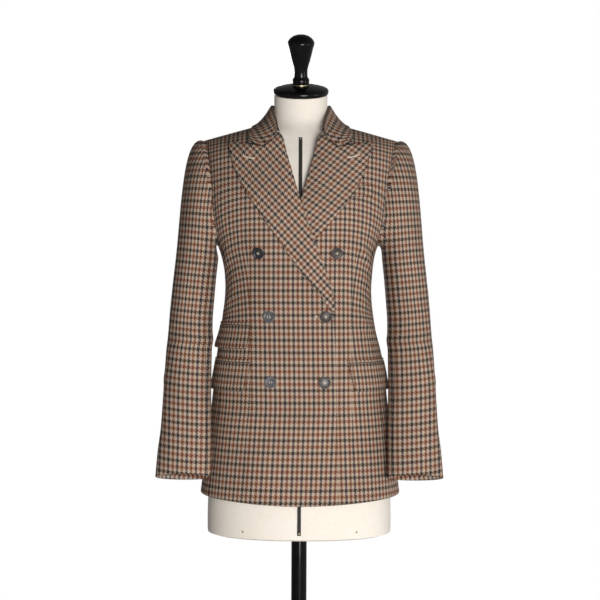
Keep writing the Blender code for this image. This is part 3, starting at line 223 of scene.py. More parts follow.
TACKS, TACK_HEIGHT, TACK_RADIUS = (-0.1010, 0.0, 0.1030), 0.3800, 0.0021
NECK_TILT = math.atan(0.2867)       # how far the cap leans forward
NECK_TOP = 1.1704                   # height of the cap's underside on its axis
# Turned profiles as (radius, height along the axis).
CAP_PROFILE = (
    (0.0485, 0.0), (0.0505, 0.0018), (0.0512, 0.0045), (0.051, 0.0078), (0.049, 0.0105), (0.042, 0.0132),
    (0.031, 0.0158), (0.0165, 0.0178))
CAP_RING_PROFILE = ((0.0156, 0.0181), (0.0156, 0.0192))
HANDLE_PROFILE = (
    (0.0150, 0.0195), (0.0154, 0.0215), (0.0154, 0.0280), (0.0128, 0.0318), (0.0121, 0.0400), (0.0126, 0.0470),
    (0.0143, 0.0540), (0.0170, 0.0630), (0.0196, 0.0735), (0.0222, 0.0845), (0.0243, 0.0920), (0.0243, 0.0965),
    (0.0208, 0.1022), (0.0140, 0.1072), (0.0070, 0.1096))
BASE_PROFILE = (
    (0.171, 0.0), (0.175, 0.004), (0.175, 0.011), (0.169, 0.017), (0.09, 0.022), (0.034, 0.025), (0.027, 0.042),
    (0.02, 0.047))
POLE_RADIUS, POLE_FOOT = 0.01425, 0.0473
# Domed head of a tack or a pin of radius 1.
HEAD_PROFILE = ((1.0, 0.0), (1.02, 0.08), (0.98, 0.16), (0.86, 0.34), (0.66, 0.5), (0.4, 0.62), (0.15, 0.67))


# ------------------------------------------------------------- interpolation
def mix(a, b, share):
    return a + (b - a) * share


def clamp(value, low=0.0, high=1.0):
    return min(max(value, low), high)


def ease(value, low, high):
    """0 below low, 1 above high, smooth between; works downwards too."""
    share = clamp((value - low) / (high - low))
    return share * share * (3 - 2 * share)


def hermite(share, start, leave, end, land):
    """A curve between two places with its direction at both."""
    cube, square = share ** 3, share ** 2
    return (start * (2 * cube - 3 * square + 1) + leave * (cube - 2 * square + share)
            + end * (3 * square - 2 * cube) + land * (cube - square))


def smooth(table, at, column=1):
    """A column of a table at a given key, as a smooth curve through its rows."""
    rows = table if table[0][0] < table[-1][0] else table[::-1]
    if at <= rows[0][0]:
        return rows[0][column]
    if at >= rows[-1][0]:
        return rows[-1][column]
    after = next(k for k, row in enumerate(rows) if row[0] >= at)
    span = rows[after][0] - rows[after - 1][0]

    def slope(k):
        low, high = rows[max(k - 1, 0)], rows[min(k + 1, len(rows) - 1)]
        return (high[column] - low[column]) / (high[0] - low[0]) * span

    return hermite((at - rows[after - 1][0]) / span, rows[after - 1][column], slope(after - 1),
                   rows[after][column], slope(after))


def between(values, at):
    """What a list holds at a number with a fraction."""
    at = clamp(at, 0.0, len(values) - 1.001)
    return mix(values[int(at)], values[int(at) + 1], at - int(at))


def halved(low, high, is_low, rounds):
    """Where a test turns from true to false, by halving."""
    for _ in range(rounds):
        middle = (low + high) / 2
        low, high = (middle, high) if is_low(middle) else (low, middle)
    return low, (low + high) / 2


def run_of(points, least=0.0):
    """Distances along a line of points, from its first one."""
    run = [0.0]
    for a, b in zip(points, points[1:]):
        run.append(run[-1] + max(math.dist(a, b), least))
    return run


def through(points, parts):
    """A smooth line through points, each stretch cut into parts."""
    along = run_of(points, 1e-6)
    table = [(s, *p) for s, p in zip(along, points)]
    line = []
    for k in range(len(points) - 1):
        count = parts[k] if isinstance(parts, list) else parts
        for step in range(count):
            at = mix(along[k], along[k + 1], step / count)
            line.append(Vector([smooth(table, at, column) for column in (1, 2, 3)]))
    return line + [points[-1].copy()]


# ------------------------------------------------------------- torso surface
LOW_ROWS = [mix(a, b, k / 5) for a, b in zip(LOW_ROWS, LOW_ROWS[1:]) for k in range(5)] + [LOW_ROWS[-1]]
SECTION_FROM, SECTION_STEP = 0.400, 0.001
SECTIONS = [[smooth(TORSO, SECTION_FROM + SECTION_STEP * k, column) for column in range(1, 6)]
            for k in range(820)]


def ridge(x):
    """Height of the shoulder ridge at a distance from the middle."""
    return RIDGE_HEIGHT + (RIDGE_TIP - abs(x)) * RIDGE_SLOPE


def section(height):
    """Half width, front depth, back depth, squareness and sway at a height."""
    at = clamp((height - SECTION_FROM) / SECTION_STEP, 0.0, len(SECTIONS) - 1.001)
    k = int(at)
    return [a + (b - a) * (at - k) for a, b in zip(SECTIONS[k], SECTIONS[k + 1])]


def outline(bearing, height):
    """Point of the plain section at a bearing: its radius, x, y and the section's sway."""
    wide, front, back, square, sway = section(height)
    turn = math.radians(bearing)
    across, deep = math.sin(turn), -math.cos(turn)
    radius = (abs(across / wide) ** square + abs(deep / (front if deep < 0 else back)) ** square) ** (-1 / square)
    return radius, radius * across, radius * deep, sway


def crease(folds, across, up, scale):
    """How far a table of folds presses the cloth out at a place."""
    relief = 0.0
    for x0, y0, x1, y1, width, depth in folds:
        reach = width * 2.6
        if min(y0, y1) - reach <= up <= max(y0, y1) + reach:
            ax, ay = (x1 - x0) * scale, y1 - y0
            hx, hy = (across - x0) * scale, up - y0
            share = clamp((hx * ax + hy * ay) / (ax * ax + ay * ay))
            away = math.hypot(hx - ax * share, hy - ay * share)
            if away < reach:
                relief += depth * math.exp(-(away / width) ** 2) * math.sin(math.pi * (0.15 + 0.70 * share))
    return relief


def skin(bearing, height):
    """Point on the blazer's outer surface; bearing in degrees from the front, + to the left."""
    radius, x, y, sway = outline(bearing, height)
    grown = 1 + crease(FOLDS, bearing, height, AROUND) / radius
    below = clamp((ridge(x * grown) - height) / ROLL_OVER)
    y = RIDGE_Y + (y * grown - RIDGE_Y) * math.sqrt(1 - (1 - below) ** 2)
    return Vector((x * grown + sway, y, height))


def bearing_at(x, height, back=False):
    """Bearing of the surface point with this x, on the front or the back."""
    wide, front, behind, square, sway = section(height)
    reach = min(abs(x - sway) / wide, 0.9999)
    depth = (behind if back else front) * (1 - reach ** square) ** (1 / square)
    bearing = math.degrees(math.atan2(abs(x - sway), depth))
    return math.copysign(180 - bearing if back else bearing, x - sway)


def torso_normal(bearing, height):
    """Outward direction of the torso, from points near by, level with the ridge at most."""
    step, drop = 0.7, 0.004
    top = ridge(skin(bearing, height).x) - 0.0015
    low, high = min(height, top) - drop, min(height + drop, top)
    along = skin(bearing + step, low) - skin(bearing - step, low)
    upward = skin(bearing, high) - skin(bearing, low)
    near_ridge = ease(height, top - 0.006, top + 0.0015)
    over = Vector((0.25 * math.sin(math.radians(bearing)), 0, 1))
    return along.cross(upward).normalized().lerp(over, near_ridge).normalized()


def on_torso(bearing, height, out):
    """Point of the torso's surface moved out along its normal."""
    return skin(bearing, height) + torso_normal(bearing, height) * out


def row_height(level, bearing):
    """Height of a low row at a bearing: rows near the hem dip in front and behind."""
    dip = HEM_DIP * math.cos(math.radians(bearing)) ** 2
    return level - dip * (1 - ease(level, HEM_SIDE, HEM_FADE))


def armhole(turn, side):
    """Bearing and height of the armhole at a turn of the sleeve."""
    return side * smooth(ARMHOLE, turn % 360, 2), smooth(ARMHOLE, turn % 360)


def base_out(x, height, side):
    """How far out the front that carries something lies: the upper one over the layers under it."""
    if side == LEFT:
        return 0.0
    beside = 1 - ease(-x, 0.073, 0.120)
    lapel_under = ease(height, BREAK - 0.036, BREAK - 0.004)
    return (CLOTH + LAYER) * beside * (1 - ease(height, 0.985, 1.050)) * (1 + lapel_under)


def front_rows(side):
    """Rows of a front: height and bearing at its inner edge, bearing and height at its outer one."""
    turns = range(FRONT_JOIN, -1, -TURN_STEP)
    foot, tip = armhole(turns[0], side)[1], armhole(turns[-1], side)[1]
    rows = [(level, side * smooth(SIDE_SEAMS, level), level) for level in LOW_ROWS]
    for turn in turns[1:]:
        bearing, height = armhole(turn, side)
        rows.append((mix(foot, NECK_POINT[1], (height - foot) / (tip - foot)), bearing, height))
    return [(inner, bearing_at(-side * smooth(FRONT_EDGE, inner), inner), bearing, outer)
            for inner, bearing, outer in rows]


def front_place(row, share):
    """Bearing and height on a front's row, at a share of the way from its inner edge."""
    inner_height, inner_bearing, outer_bearing, outer_height = row
    bearing, height = mix(inner_bearing, outer_bearing, share), mix(inner_height, outer_height, share)
    up = max(0.0, (inner_height - LOW_ROWS[-1]) / (NECK_POINT[1] - LOW_ROWS[-1]))
    if up > 0 and 0 < share < 1:
        top = RIDGE_HEIGHT
        for _ in range(5):
            top = ridge(skin(bearing, top).x)
        height = mix(height, top, up ** (6 + 30 * (1 - share) ** 3))
    return bearing, row_height(height, bearing)


def share_at(row, x):
    """Share along a front's row where it reaches an x."""
    rising = skin(*front_place(row, 1.0)).x > skin(*front_place(row, 0.0)).x
    return halved(0.0, 1.0, lambda share: (skin(*front_place(row, share)).x < x) == rising, 24)[1]


def lapel_stand(share, x, height, side):
    """How far a lapel stands off the front, at a share of its width."""
    body = ease(height, BREAK, BREAK + 0.06)
    stand = LAYER + (BELLY * math.sin(math.pi * share ** 0.7) + LAPEL_LIFT * share) * body
    if side == LEFT:
        stand = mix(LAYER, stand, ease(x - smooth(FRONT_EDGE, height), 0.004, 0.020))
    return stand


def lapel_places(side):
    """Rows of a lapel as (bearing, height) across it; the last rows bend up to the gorge."""
    reach = len(GORGE) - 1
    low = [row for row in front_rows(side) if BREAK <= row[0] < LAPEL_TOP_FADE]
    places = []
    for row in low:
        edge_share = share_at(row, side * smooth(LAPEL, row[0], 1 if side == RIGHT else 2))
        places.append([front_place(row, edge_share * k / reach) for k in range(reach + 1)])
    top = [(bearing_at(side * x, height), height) for x, height in GORGE]
    top[0] = bearing_at(-side * smooth(FRONT_EDGE, GORGE[0][1]), GORGE[0][1]), GORGE[0][1]
    under = places[-1]
    for row in front_rows(side):
        if LAPEL_TOP_FADE < row[0] < GORGE[0][1] - 0.004:
            share = (row[0] - under[0][1]) / (top[0][1] - under[0][1])
            bent = [(mix(a[0], b[0], share), mix(a[1], b[1], share)) for a, b in zip(under, top)]
            places.append([front_place(row, 0.0)] + bent[1:])
    return places + [top]


def lying(x, y, out):
    """Point a distance out from the shoulders' surface over a place."""
    x, behind = max(x, 0.0015), y > RIDGE_Y

    def is_low(height):
        return abs(skin(bearing_at(x, height, behind), height).y - RIDGE_Y) > abs(y - RIDGE_Y)

    height = halved(ridge(x) - ROLL_OVER, ridge(x), is_low, 20)[1]
    return on_torso(bearing_at(x, height, behind), height, out)


def collar_path(station):
    """Points of the collar's middle surface at a station, from neckline to outer edge."""
    value = [smooth(COLLAR, station, k) for k in range(13)]
    neck, fold = Vector(value[1:4]), Vector(value[4:7])
    inward = Vector((-fold.x, -fold.y, 0)).normalized()
    drop = Vector((0, 0, FOLD_RADIUS))
    stand_top, fall_top = fold + inward * FOLD_RADIUS - drop, fold - inward * FOLD_RADIUS - drop
    edge = lying(value[10], value[11], CLOTH * 0.5 + LAYER * 2)
    straight_mid = fall_top.lerp(edge, 0.5)
    mid = lying(*value[7:10]).lerp(straight_mid - inward * 0.002, clamp(value[12]))
    path = [neck, neck.lerp(stand_top, 0.5), stand_top, fold, fall_top]
    for k in range(1, 6):
        share, (x, height) = k / 5, GORGE[k]
        height += COLLAR_RISE
        along = (x - GORGE[0][0]) / (GORGE[-1][0] - GORGE[0][0])
        gorge = on_torso(bearing_at(x, height), height, lapel_stand(along, x, height, LEFT) + CLOTH / 2)
        place = fall_top.lerp(edge, share) + (mid - straight_mid) * 4 * share * (1 - share)
        path.append(place.lerp(gorge, 1 - ease(station, 0.0, 0.16)))
    return path


def squared(value, squareness):
    """A sine or cosine bent towards a squarer outline."""
    return math.copysign(abs(value) ** (2 / squareness), value)


def sleeve_ring(height, turn, side):
    """Point of the sleeve's surface below the armhole, at a turn round it."""
    middle_x, middle_y, half_x, half_y, tilt, twist = [smooth(SLEEVE, height, k) for k in range(1, 7)]
    if turn < SEAM_REST:
        wander = BACK_SEAM_TWIST * (SEAM_REST - turn) / (SEAM_REST - UPPER_FROM)
    elif turn <= UPPER_TO:
        wander = FRONT_SEAM_TWIST * (turn - SEAM_REST) / (UPPER_TO - SEAM_REST)
    else:
        share = (turn - UPPER_TO) / (360 + UPPER_FROM - UPPER_TO)
        wander = mix(FRONT_SEAM_TWIST, BACK_SEAM_TWIST, share)
    angle, lean = math.radians(turn + wander * twist), math.radians(tilt)
    x = middle_x + half_x * squared(math.cos(angle), SLEEVE_SQUARENESS)
    forward = half_y * squared(math.sin(angle), SLEEVE_SQUARENESS)
    return Vector((side * x, middle_y - forward * math.cos(lean), height + forward * math.sin(lean)))


def sleeve_cap(share, turn, side):
    """Point between the armhole and the first ring: the head of the sleeve."""
    start = skin(*armhole(turn, side))
    ahead = skin(*armhole(turn + 4, side)) - skin(*armhole(turn - 4, side))
    outside = torso_normal(*armhole(turn, side)).cross(ahead).normalized() * side
    c, s = math.cos(math.radians(turn)), math.sin(math.radians(turn))
    start = start + outside * SEAM * 1.6
    rise = HEAD_RISE * max(c, 0.0) + UNDERARM_RISE * max(-c, 0.0)
    leave = Vector((side * (0.75 + 0.2 * abs(c)), -0.5 * s, rise)).normalized()
    end = sleeve_ring(SLEEVE[-1][0], turn, side)
    down = (sleeve_ring(SLEEVE[-1][0] - 0.02, turn, side) - end).normalized()
    leave_pull, land_pull = [(end - start).length * mix(1.0, k, max(c, 0.0)) for k in (HEAD_LEAVE, HEAD_LAND)]
    return hermite(share, start, leave * leave_pull, end, down * land_pull)


# ------------------------------------------------------------ grain of the cloth
WARP_REPEAT, WEFT_REPEAT, REPEAT_THREADS = 0.0171, 0.0221, 16   # one repeat of the check
ARC_STEP, ARC_RISE = 3, 0.005       # degrees and metres between measured arcs
ROW_PHASE = 0.0088      # sets the dark rows of the body at their heights
ROW_DROP = 0.40         # how steeply the rows fall outside the darts
CHEST_CLOSER = 0.15     # share by which the rows draw together on the upper chest
SHOULDER_RUN = 0.685    # cloth taken up where the shoulder rounds off
BEND_FROM, BEND_OVER = 0.075, 0.065     # where the rows start to fall, and over what width they turn
# Darts of the fronts, as (height, distance from the middle), and the cloth each takes in.
DARTS = {
    RIGHT: (
        (0.43, 0.099), (0.5, 0.0965), (0.55, 0.094), (0.6, 0.089), (0.7, 0.088), (0.755, 0.088), (0.81, 0.0895),
        (0.87, 0.0925), (0.9, 0.0935)),
    LEFT: (
        (0.43, 0.096), (0.5, 0.095), (0.55, 0.094), (0.6, 0.094), (0.69, 0.093), (0.755, 0.0925), (0.8, 0.0935),
        (0.85, 0.0985), (0.9, 0.106)),
}
INTAKE = (
    (0.43, 0.0), (0.56, 0.002), (0.64, 0.006), (0.7, 0.012), (0.76, 0.016), (0.82, 0.011), (0.88, 0.001),
    (0.9, 0.0))
DART_TOP = 0.884
# Cloth for each metre of height, which grows on the chest.
STRETCH = ((0.4, 1.0), (0.93, 1.0), (0.98, 1.05), (1.03, 1.13), (1.15, 1.15))
RUN_FROM, RUN_STEP = 0.400, 0.004
# Grain of each lapel on its front: steps outward and up for one repeat of weft and of warp,
# and the place, outward and up, where the check starts.
LAPEL_GRAIN = {
    RIGHT: ((0.01169, 0.01258), (-0.01212, 0.01206), (0.0383, 0.9515)),
    LEFT: ((0.01285, 0.01317), (-0.01351, 0.00916), (0.0353, 0.9577)),
}
CUFF_ROWS = 6           # rows of wool turned up inside a cuff
SLEEVE_TILT = 0.10      # fall of a sleeve's rows from its outside inwards
FLAP_CLOSER, FLAP_SHIFT = 1.12, 0.0043      # a flap's columns stand closer and a little outward


def run_up(height):
    """Distance up the cloth at a height."""
    total = at = RUN_FROM
    while at < height:
        part = min(0.01, height - at)
        total += part * smooth(STRETCH, at + part / 2)
        at += part
    return total


RUN_UPS = [run_up(RUN_FROM + RUN_STEP * k) for k in range(201)]


@functools.cache
def arc_row(level):
    """Distance round the torso from the front's middle, every few degrees, at one level."""
    return run_of([outline(step, level * ARC_RISE)[1:3] for step in range(0, 181 + ARC_STEP, ARC_STEP)])


def around(bearing, height):
    """Distance round the torso from the middle of the front, signed like the bearing."""
    low = int(height / ARC_RISE)
    a, b = [between(arc_row(k), abs(bearing) / ARC_STEP) for k in (low, low + 1)]
    return math.copysign(mix(a, b, height / ARC_RISE - low), bearing)


def grain(bearing, height, origin=0.0):
    """Place of a torso point in the cloth: along the weft and along the warp."""
    _, x, y, sway = outline(bearing, height)
    below = clamp((ridge(x) - height) / ROLL_OVER)
    up = between(RUN_UPS, (height - RUN_FROM) / RUN_STEP)
    up += SHOULDER_RUN * abs(y) * (1 - math.sqrt(max(0.0, 1 - (1 - below) ** 2)))
    up += ROW_PHASE + CHEST_CLOSER * clamp(height - 0.90, 0.0, 0.09)
    run = around(bearing, height)
    bend = max(abs(run) - BEND_FROM, 0.0)
    bend = bend * bend / (2 * BEND_OVER) if bend < BEND_OVER else bend - BEND_OVER / 2
    fade = mix(1.0, 0.45, ease(height, 0.955, 1.01)) * (1 - ease(abs(run), 0.18, 0.30))
    up += ROW_DROP * min(bend, 0.10) * ease(height, 0.735, 0.790) * fade
    return run - origin + sway, up


def level_grain(places, bearing, column):
    """Grain of rows of places, each counted from a bearing at the height of one column."""
    rows = []
    for row in places:
        origin = around(bearing, row[column][1])
        rows.append([grain(*place, origin) for place in row])
    return rows


def front_grain(bearing, height, side):
    """Grain of a front, whose skirt swings outwards a little below the waist."""
    across, up = grain(bearing, height)
    low, high = max(0.0, 0.600 - height), max(0.0, height - 0.600)
    if side == RIGHT:
        return across + (0.035 + 0.030 * ease(-across, 0.0, 0.10)) * low + 0.020 * min(high, 0.2), up
    return across - 0.030 * low - 0.0030, up


# ------------------------------------------------------------------ mesh building
EDGE, TRIM_EDGE = 0.0007, 0.0012    # how far the edges of panels and of trims are rounded
NARROWEST_SHEET = 0.010     # least cut width that garment() tests for; nothing follows from the test
X_WAY, Y_WAY, Z_WAY = Vector((1, 0, 0)), Vector((0, 1, 0)), Vector((0, 0, 1))


def mesh_object(name, points, faces, finishes, uvs=None, slots=None, sharp=40.0):
    """One object from points and faces; uvs hold one pair for each corner of each face."""
    mesh = bpy.data.meshes.new(name)
    mesh.from_pydata([tuple(p) for p in points], [], faces)
    for finish in finishes:
        mesh.materials.append(finish)
    if slots:
        mesh.polygons.foreach_set("material_index", slots)
    if uvs:
        layer = mesh.uv_layers.new(name="grain")
        layer.data.foreach_set("uv", [value for face in uvs for pair in face for value in pair])
    mesh.validate()
    return linked(name, mesh, sharp)


def linked(name, mesh, sharp):
    mesh.update()
    mesh.shade_smooth()
    if sharp:
        mesh.set_sharp_from_angle(angle=math.radians(sharp))
    made = bpy.data.objects.new(name, mesh)
    bpy.context.scene.collection.objects.link(made)
    return made


def settled(made, node=None):
    """Puts a piece under the root body and hides the solid of the node that it stands for, if any."""
    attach(made, "root")
    if node:
        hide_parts(node)
    return made


def towards(a, b, gap):
    way = b - a
    return a + way * min(gap / max(way.length, 1e-9), 0.45)


def edge_in(grid, gap):
    """A grid with its border drawn in along the cloth."""
    moved = [list(row) for row in grid]
    for at, beside in ((0, 1), (-1, -2)):
        moved[at] = [towards(a, b, gap) for a, b in zip(grid[at], grid[beside])]
    for row in moved:
        row[0] = towards(row[0], row[1], gap)
        row[-1] = towards(row[-1], row[-2], gap)
    return moved


def pull_in(grid, sides):
    """A grid with its named sides moved in by half a seam: first or last column, top row."""
    grid = [list(row) for row in grid]
    for row in grid:
        for side, at, beside in (("first", 0, 1), ("last", -1, -2)):
            if side in sides:
                row[at] = row[at] + (row[beside] - row[at]).normalized() * SEAM_HALF
    if "top" in sides:
        grid[-1] = [a + (b - a).normalized() * SEAM_HALF for a, b in zip(grid[-1], grid[-2])]
    return grid


def cloth(name, outer, inner, uv, finishes, lined=None, jump=None, flip=False, edge=EDGE):
    """A closed sheet between two grids: finishes of its outside, its lined inside and its rim; the rim's third finish,
    where one is given, is darkened wool that paints shade along the edge.

    jump is (column, amounts): faces from that column on have their grain moved by each row's amount.
    """
    rows, columns = len(outer), len(outer[0])
    border = ([(0, c) for c in range(columns)] + [(r, columns - 1) for r in range(1, rows)]
              + [(rows - 1, c) for c in range(columns - 2, -1, -1)] + [(r, 0) for r in range(rows - 2, 0, -1)])
    points = [p for grid in (outer, inner) for row in edge_in(grid, edge) for p in row]
    points += [(outer[r][c] + inner[r][c]) / 2 for r, c in border]
    under, rim = rows * columns, 2 * rows * columns

    def place(r, c, face_column):
        u, v = uv[r][c]
        return (u + jump[1][r] if jump and face_column >= jump[0] else u), v

    faces, uvs, slots, area = [], [], [], 0.0
    for r in range(rows - 1):
        for c in range(columns - 1):
            corners = [(r, c), (r, c + 1), (r + 1, c + 1), (r + 1, c)]
            top = [a * columns + b for a, b in corners]
            p, q, s, t = [points[k] for k in top]
            area += ((q - p).cross(t - p).length + (q - s).cross(t - s).length) / 2
            pairs = [place(a, b, c) for a, b in corners]
            faces += [top, [under + k for k in reversed(top)]]
            uvs += [pairs, pairs[::-1]]
            slots += [0, 1 if lined and lined(r, c) else 0]
    for k, (r0, c0) in enumerate(border):
        after = (k + 1) % len(border)
        r1, c1 = border[after]
        a, b, m, n = r0 * columns + c0, r1 * columns + c1, rim + k, rim + after
        pair = [place(r1, c1, min(c0, c1)), place(r0, c0, min(c0, c1))]
        faces += [[b, a, m, n], [n, m, under + a, under + b]]
        uvs += [pair + pair[::-1]] * 2
        # Rim faces take the third finish when there is one: painted shade along the edge.
        slots += [2 if len(finishes) > 2 else 0] * 2
    if flip:
        faces, uvs = [f[::-1] for f in faces], [u[::-1] for u in uvs]
    made = mesh_object(name, points, faces, finishes, uvs, slots, 75.0)
    wide = max(run_of(row)[-1] for row in outer)
    tall = max(max(run_of(column)[-1] for column in zip(*outer)), area / wide * 1.001)
    return made, (round(wide + 0.0005, 4), round(tall + 0.0005, 4)), round(area, 5)


def garment(node, outer, inner, uv, held, rests_on, trims=(), **more):
    """A cloth piece that stands for a node; the size that it is cut to is worked out, and nothing is done with it."""
    # The third finish is the darkened wool: painted shade on each piece's rim.
    made, flat, area = cloth(f"{node}_cloth", outer, inner, uv, (wool, lining, wool_painted_edge_shade), **more)
    settled(made, node)
    if min(flat) >= NARROWEST_SHEET:
        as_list(rests_on)
        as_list(trims)
    return made


def laid(places, outs, thick=CLOTH):
    """Two grids of points on the torso, the outside and the inside of one thickness."""
    grids = [], []
    for row, lifts in zip(places, outs):
        feet = [(skin(*place), torso_normal(*place), lift) for place, lift in zip(row, lifts)]
        for grid, drop in zip(grids, (0.0, thick)):
            grid.append([foot + normal * (lift - drop) for foot, normal, lift in feet])
    return grids


def circle(centre, side, up, radius, count):
    """Points round a centre, from one direction towards another."""
    turns = [math.tau * k / count for k in range(count)]
    return [centre + (side * math.cos(turn) + up * math.sin(turn)) * radius for turn in turns]


def wall(rows, count, start=0, capped=True):
    """Faces that join rings of count points, with a flat face at each end if capped."""
    faces = [[start + a * count + b for a, b in ((row, k), (row, after), (row + 1, after), (row + 1, k))]
             for row in range(rows - 1) for k, after in zip(range(count), [*range(1, count), 0])]
    last = start + (rows - 1) * count
    return faces + [list(range(start, start + count))[::-1], list(range(last, last + count))] * capped


def fans(points, rows, count):
    """Adds the middle of the first and the last ring, and gives the faces that close them."""
    faces = []
    for row, order in ((0, -1), (rows - 1, 1)):
        ring = list(range(row * count, (row + 1) * count))
        points.append(sum((points[k] for k in ring), Vector()) / count)
        faces += [[*(a, b)[::order], len(points) - 1] for a, b in zip(ring, ring[1:] + ring[:1])]
    return faces


def lathe(name, profile, finish, tilt=0.0, base=Vector(), count=96, parts=4, sharp=50.0):
    """A turned body whose profile is smoothed between its named points; the name starts with its node."""
    line = through([Vector((radius, height, 0)) for radius, height in profile], parts)
    lean, depth = Vector((0, -math.sin(tilt), math.cos(tilt))), Vector((0, math.cos(tilt), math.sin(tilt)))
    points = [p for spot in line for p in circle(base + lean * spot.y, X_WAY, depth, spot.x, count)]
    faces = wall(len(line), count, capped=False) + fans(points, len(line), count)
    settled(mesh_object(name, points, faces, [finish], sharp=sharp), name.rpartition("_")[0])


# --------------------------------------------------------------------- materials
def new_node(tree, kind, inputs=(), output=0, **settings):
    """One output of a new node, with its inputs joined to values or to other outputs."""
    added = tree.nodes.new("ShaderNode" + kind)
    for key, value in settings.items():
        setattr(added, key, value)
    for key, value in dict(inputs).items():
        if isinstance(value, bpy.types.NodeSocket):
            tree.links.new(value, added.inputs[key])
        else:
            added.inputs[key].default_value = value
    return added.outputs[output]


class Finish:
    """A material while it is made; values go to the shader's own inputs."""

    def __init__(self, name, roughness, **values):
        self.made = bpy.data.materials.new(name)
        self.made.use_nodes = True
        self.tree = self.made.node_tree
        self.shader = self.tree.nodes["Principled BSDF"].inputs
        self.node = functools.partial(new_node, self.tree)
        for key, value in dict(values, Roughness=roughness).items():
            self.shader[key.replace("_", " ")].default_value = value

    def maths(self, operation, a, b=0.0):
        return self.node("Math", {0: a, 1: b}, operation=operation)

    def noise(self, place, scale, detail, **more):
        return self.node("TexNoise", {"Vector": place, "Scale": scale, "Detail": detail, **more})

    def wave(self, place, scale, distortion, way):
        inputs = {"Vector": place, "Scale": scale, "Distortion": distortion}
        return self.node("TexWave", inputs, 1, bands_direction=way)

    def scaled(self, place, *scale):
        return self.node("Mapping", {0: place, 3: scale})

    def spread(self, value, *ends):
        """A value taken from one range to another."""
        return self.node("MapRange", {0: value, **dict(enumerate(ends, 1))})

    def blend(self, mode, share, a, b):
        return self.node("Mix", {0: share, 6: a, 7: b}, 2, data_type="RGBA", blend_type=mode)

    def choose(self, share, a, b):
        return self.node("Mix", {0: share, 2: a, 3: b}, data_type="FLOAT")

    def ramp(self, value, stops, interpolation="LINEAR"):
        """A colour ramp of (position, colour) stops."""
        colour = self.node("ValToRGB", {0: value})
        band = colour.node.color_ramp
        band.interpolation = interpolation
        while len(band.elements) < len(stops):
            band.elements.new(0.5)
        for element, (position, tint) in zip(band.elements, stops):
            element.position, element.color = position, (*tint, 1)
        return colour

    def join(self, key, value):
        self.tree.links.new(value, self.shader[key])

    def finished(self, colour, height=None, distance=0.0, strength=0.0):
        """The material with its colour, and the relief of a height where one is given."""
        self.join("Base Color", colour)
        if height:
            self.join("Normal", self.node("Bump", {"Height": height, "Distance": distance, "Strength": strength}))
        return self.made


CREAM, RUST, NAVY = (0.600, 0.500, 0.412), (0.200, 0.058, 0.024), (0.013, 0.019, 0.046)
WEFT_DARK, WEFT_RUST = (0.105, 0.078, 0.055), (0.300, 0.125, 0.066)
LINEN_THREAD = 0.0012   # metres for two threads of the form's linen
STRIPES = (0.0, 0.25, 0.5, 0.75)    # where each stripe of a repeat starts


def wool_material(name, painted_shade_level=1.0):
    """Gun-check cloth in a two-and-two twill, woven thread by thread from the grain map; a shade level below 1 darkens
    all of it as painted shade for the rims.
    """
    f = Finish(name, 0.88, Sheen_Weight=0.04, Sheen_Roughness=0.45, Sheen_Tint=(0.90, 0.80, 0.70, 1),
               Specular_IOR_Level=0.12)
    place = f.node("UVMap", uv_map="grain")
    warp_at, weft_at = [f.maths("DIVIDE", f.node("SeparateXYZ", {0: place}, k), repeat / REPEAT_THREADS)
                        for k, repeat in enumerate((WARP_REPEAT, WEFT_REPEAT))]
    warp, weft = f.maths("FLOOR", warp_at), f.maths("FLOOR", weft_at)

    def stripes(thread, shift, colours):
        thread = f.maths("FLOORED_MODULO", f.maths("ADD", thread, shift), REPEAT_THREADS)
        share = f.maths("ADD", f.maths("DIVIDE", thread, REPEAT_THREADS), 0.02)
        return f.ramp(share, list(zip(STRIPES, colours)), "CONSTANT")

    def tone(thread):
        return f.node("MapRange", {0: f.node("TexWhiteNoise", {"W": thread}, noise_dimensions="1D"), 3: 0.90, 4: 1.08})

    def hump(at):
        return f.maths("SINE", f.maths("MULTIPLY", f.maths("FRACT", at), math.pi))

    warp_colour, weft_colour = stripes(warp, 10.0, (NAVY, CREAM, RUST, CREAM)), stripes(
        weft, 2.0, (WEFT_DARK, CREAM, WEFT_RUST, CREAM))
    over = f.maths("LESS_THAN", f.maths("FLOORED_MODULO", f.maths("ADD", warp, weft), 4.0), 1.5)
    beneath = f.blend("MIX", over, warp_colour, weft_colour)
    colour = f.blend("MULTIPLY", 0.50, f.blend("MIX", over, weft_colour, warp_colour), beneath)
    tones = f.choose(over, tone(f.maths("ADD", weft, 517.0)), tone(warp))
    fibre = f.noise(place, 3200.0, 3.0, Roughness=0.7)
    # The last factor, the shade level, darkens the whole cloth: painted shade, used on the copy for the rims.
    for more in (f.spread(fibre, 0.3, 0.7, 0.86, 1.12), f.spread(f.noise(place, 14.0, 2.0), 0.3, 0.7, 0.95, 1.05),
                 painted_shade_level):
        tones = f.maths("MULTIPLY", tones, more)
    grey = f.node("CombineColor", {0: tones, 1: tones, 2: tones})
    height = f.maths("ADD", f.choose(over, hump(weft_at), hump(warp_at)), f.maths("MULTIPLY", fibre, 0.7))
    return f.finished(f.blend("MULTIPLY", 1.0, colour, grey), height, 0.00022, 0.65)


def lining_material(name):
    """Satin twill lining with a faint slub."""
    f = Finish(name, 0.34, Sheen_Weight=0.10)
    place = f.node("UVMap", uv_map="grain")
    slub = f.noise(f.scaled(place, 900.0, 40.0, 1.0), 1.0, 3.0)
    colour = f.ramp(slub, [(0.25, (0.070, 0.040, 0.028)), (0.75, (0.115, 0.068, 0.046))])
    return f.finished(colour, f.maths("ADD", f.wave(place, 420.0, 0.3, "DIAGONAL"), slub), 0.00008, 0.4)


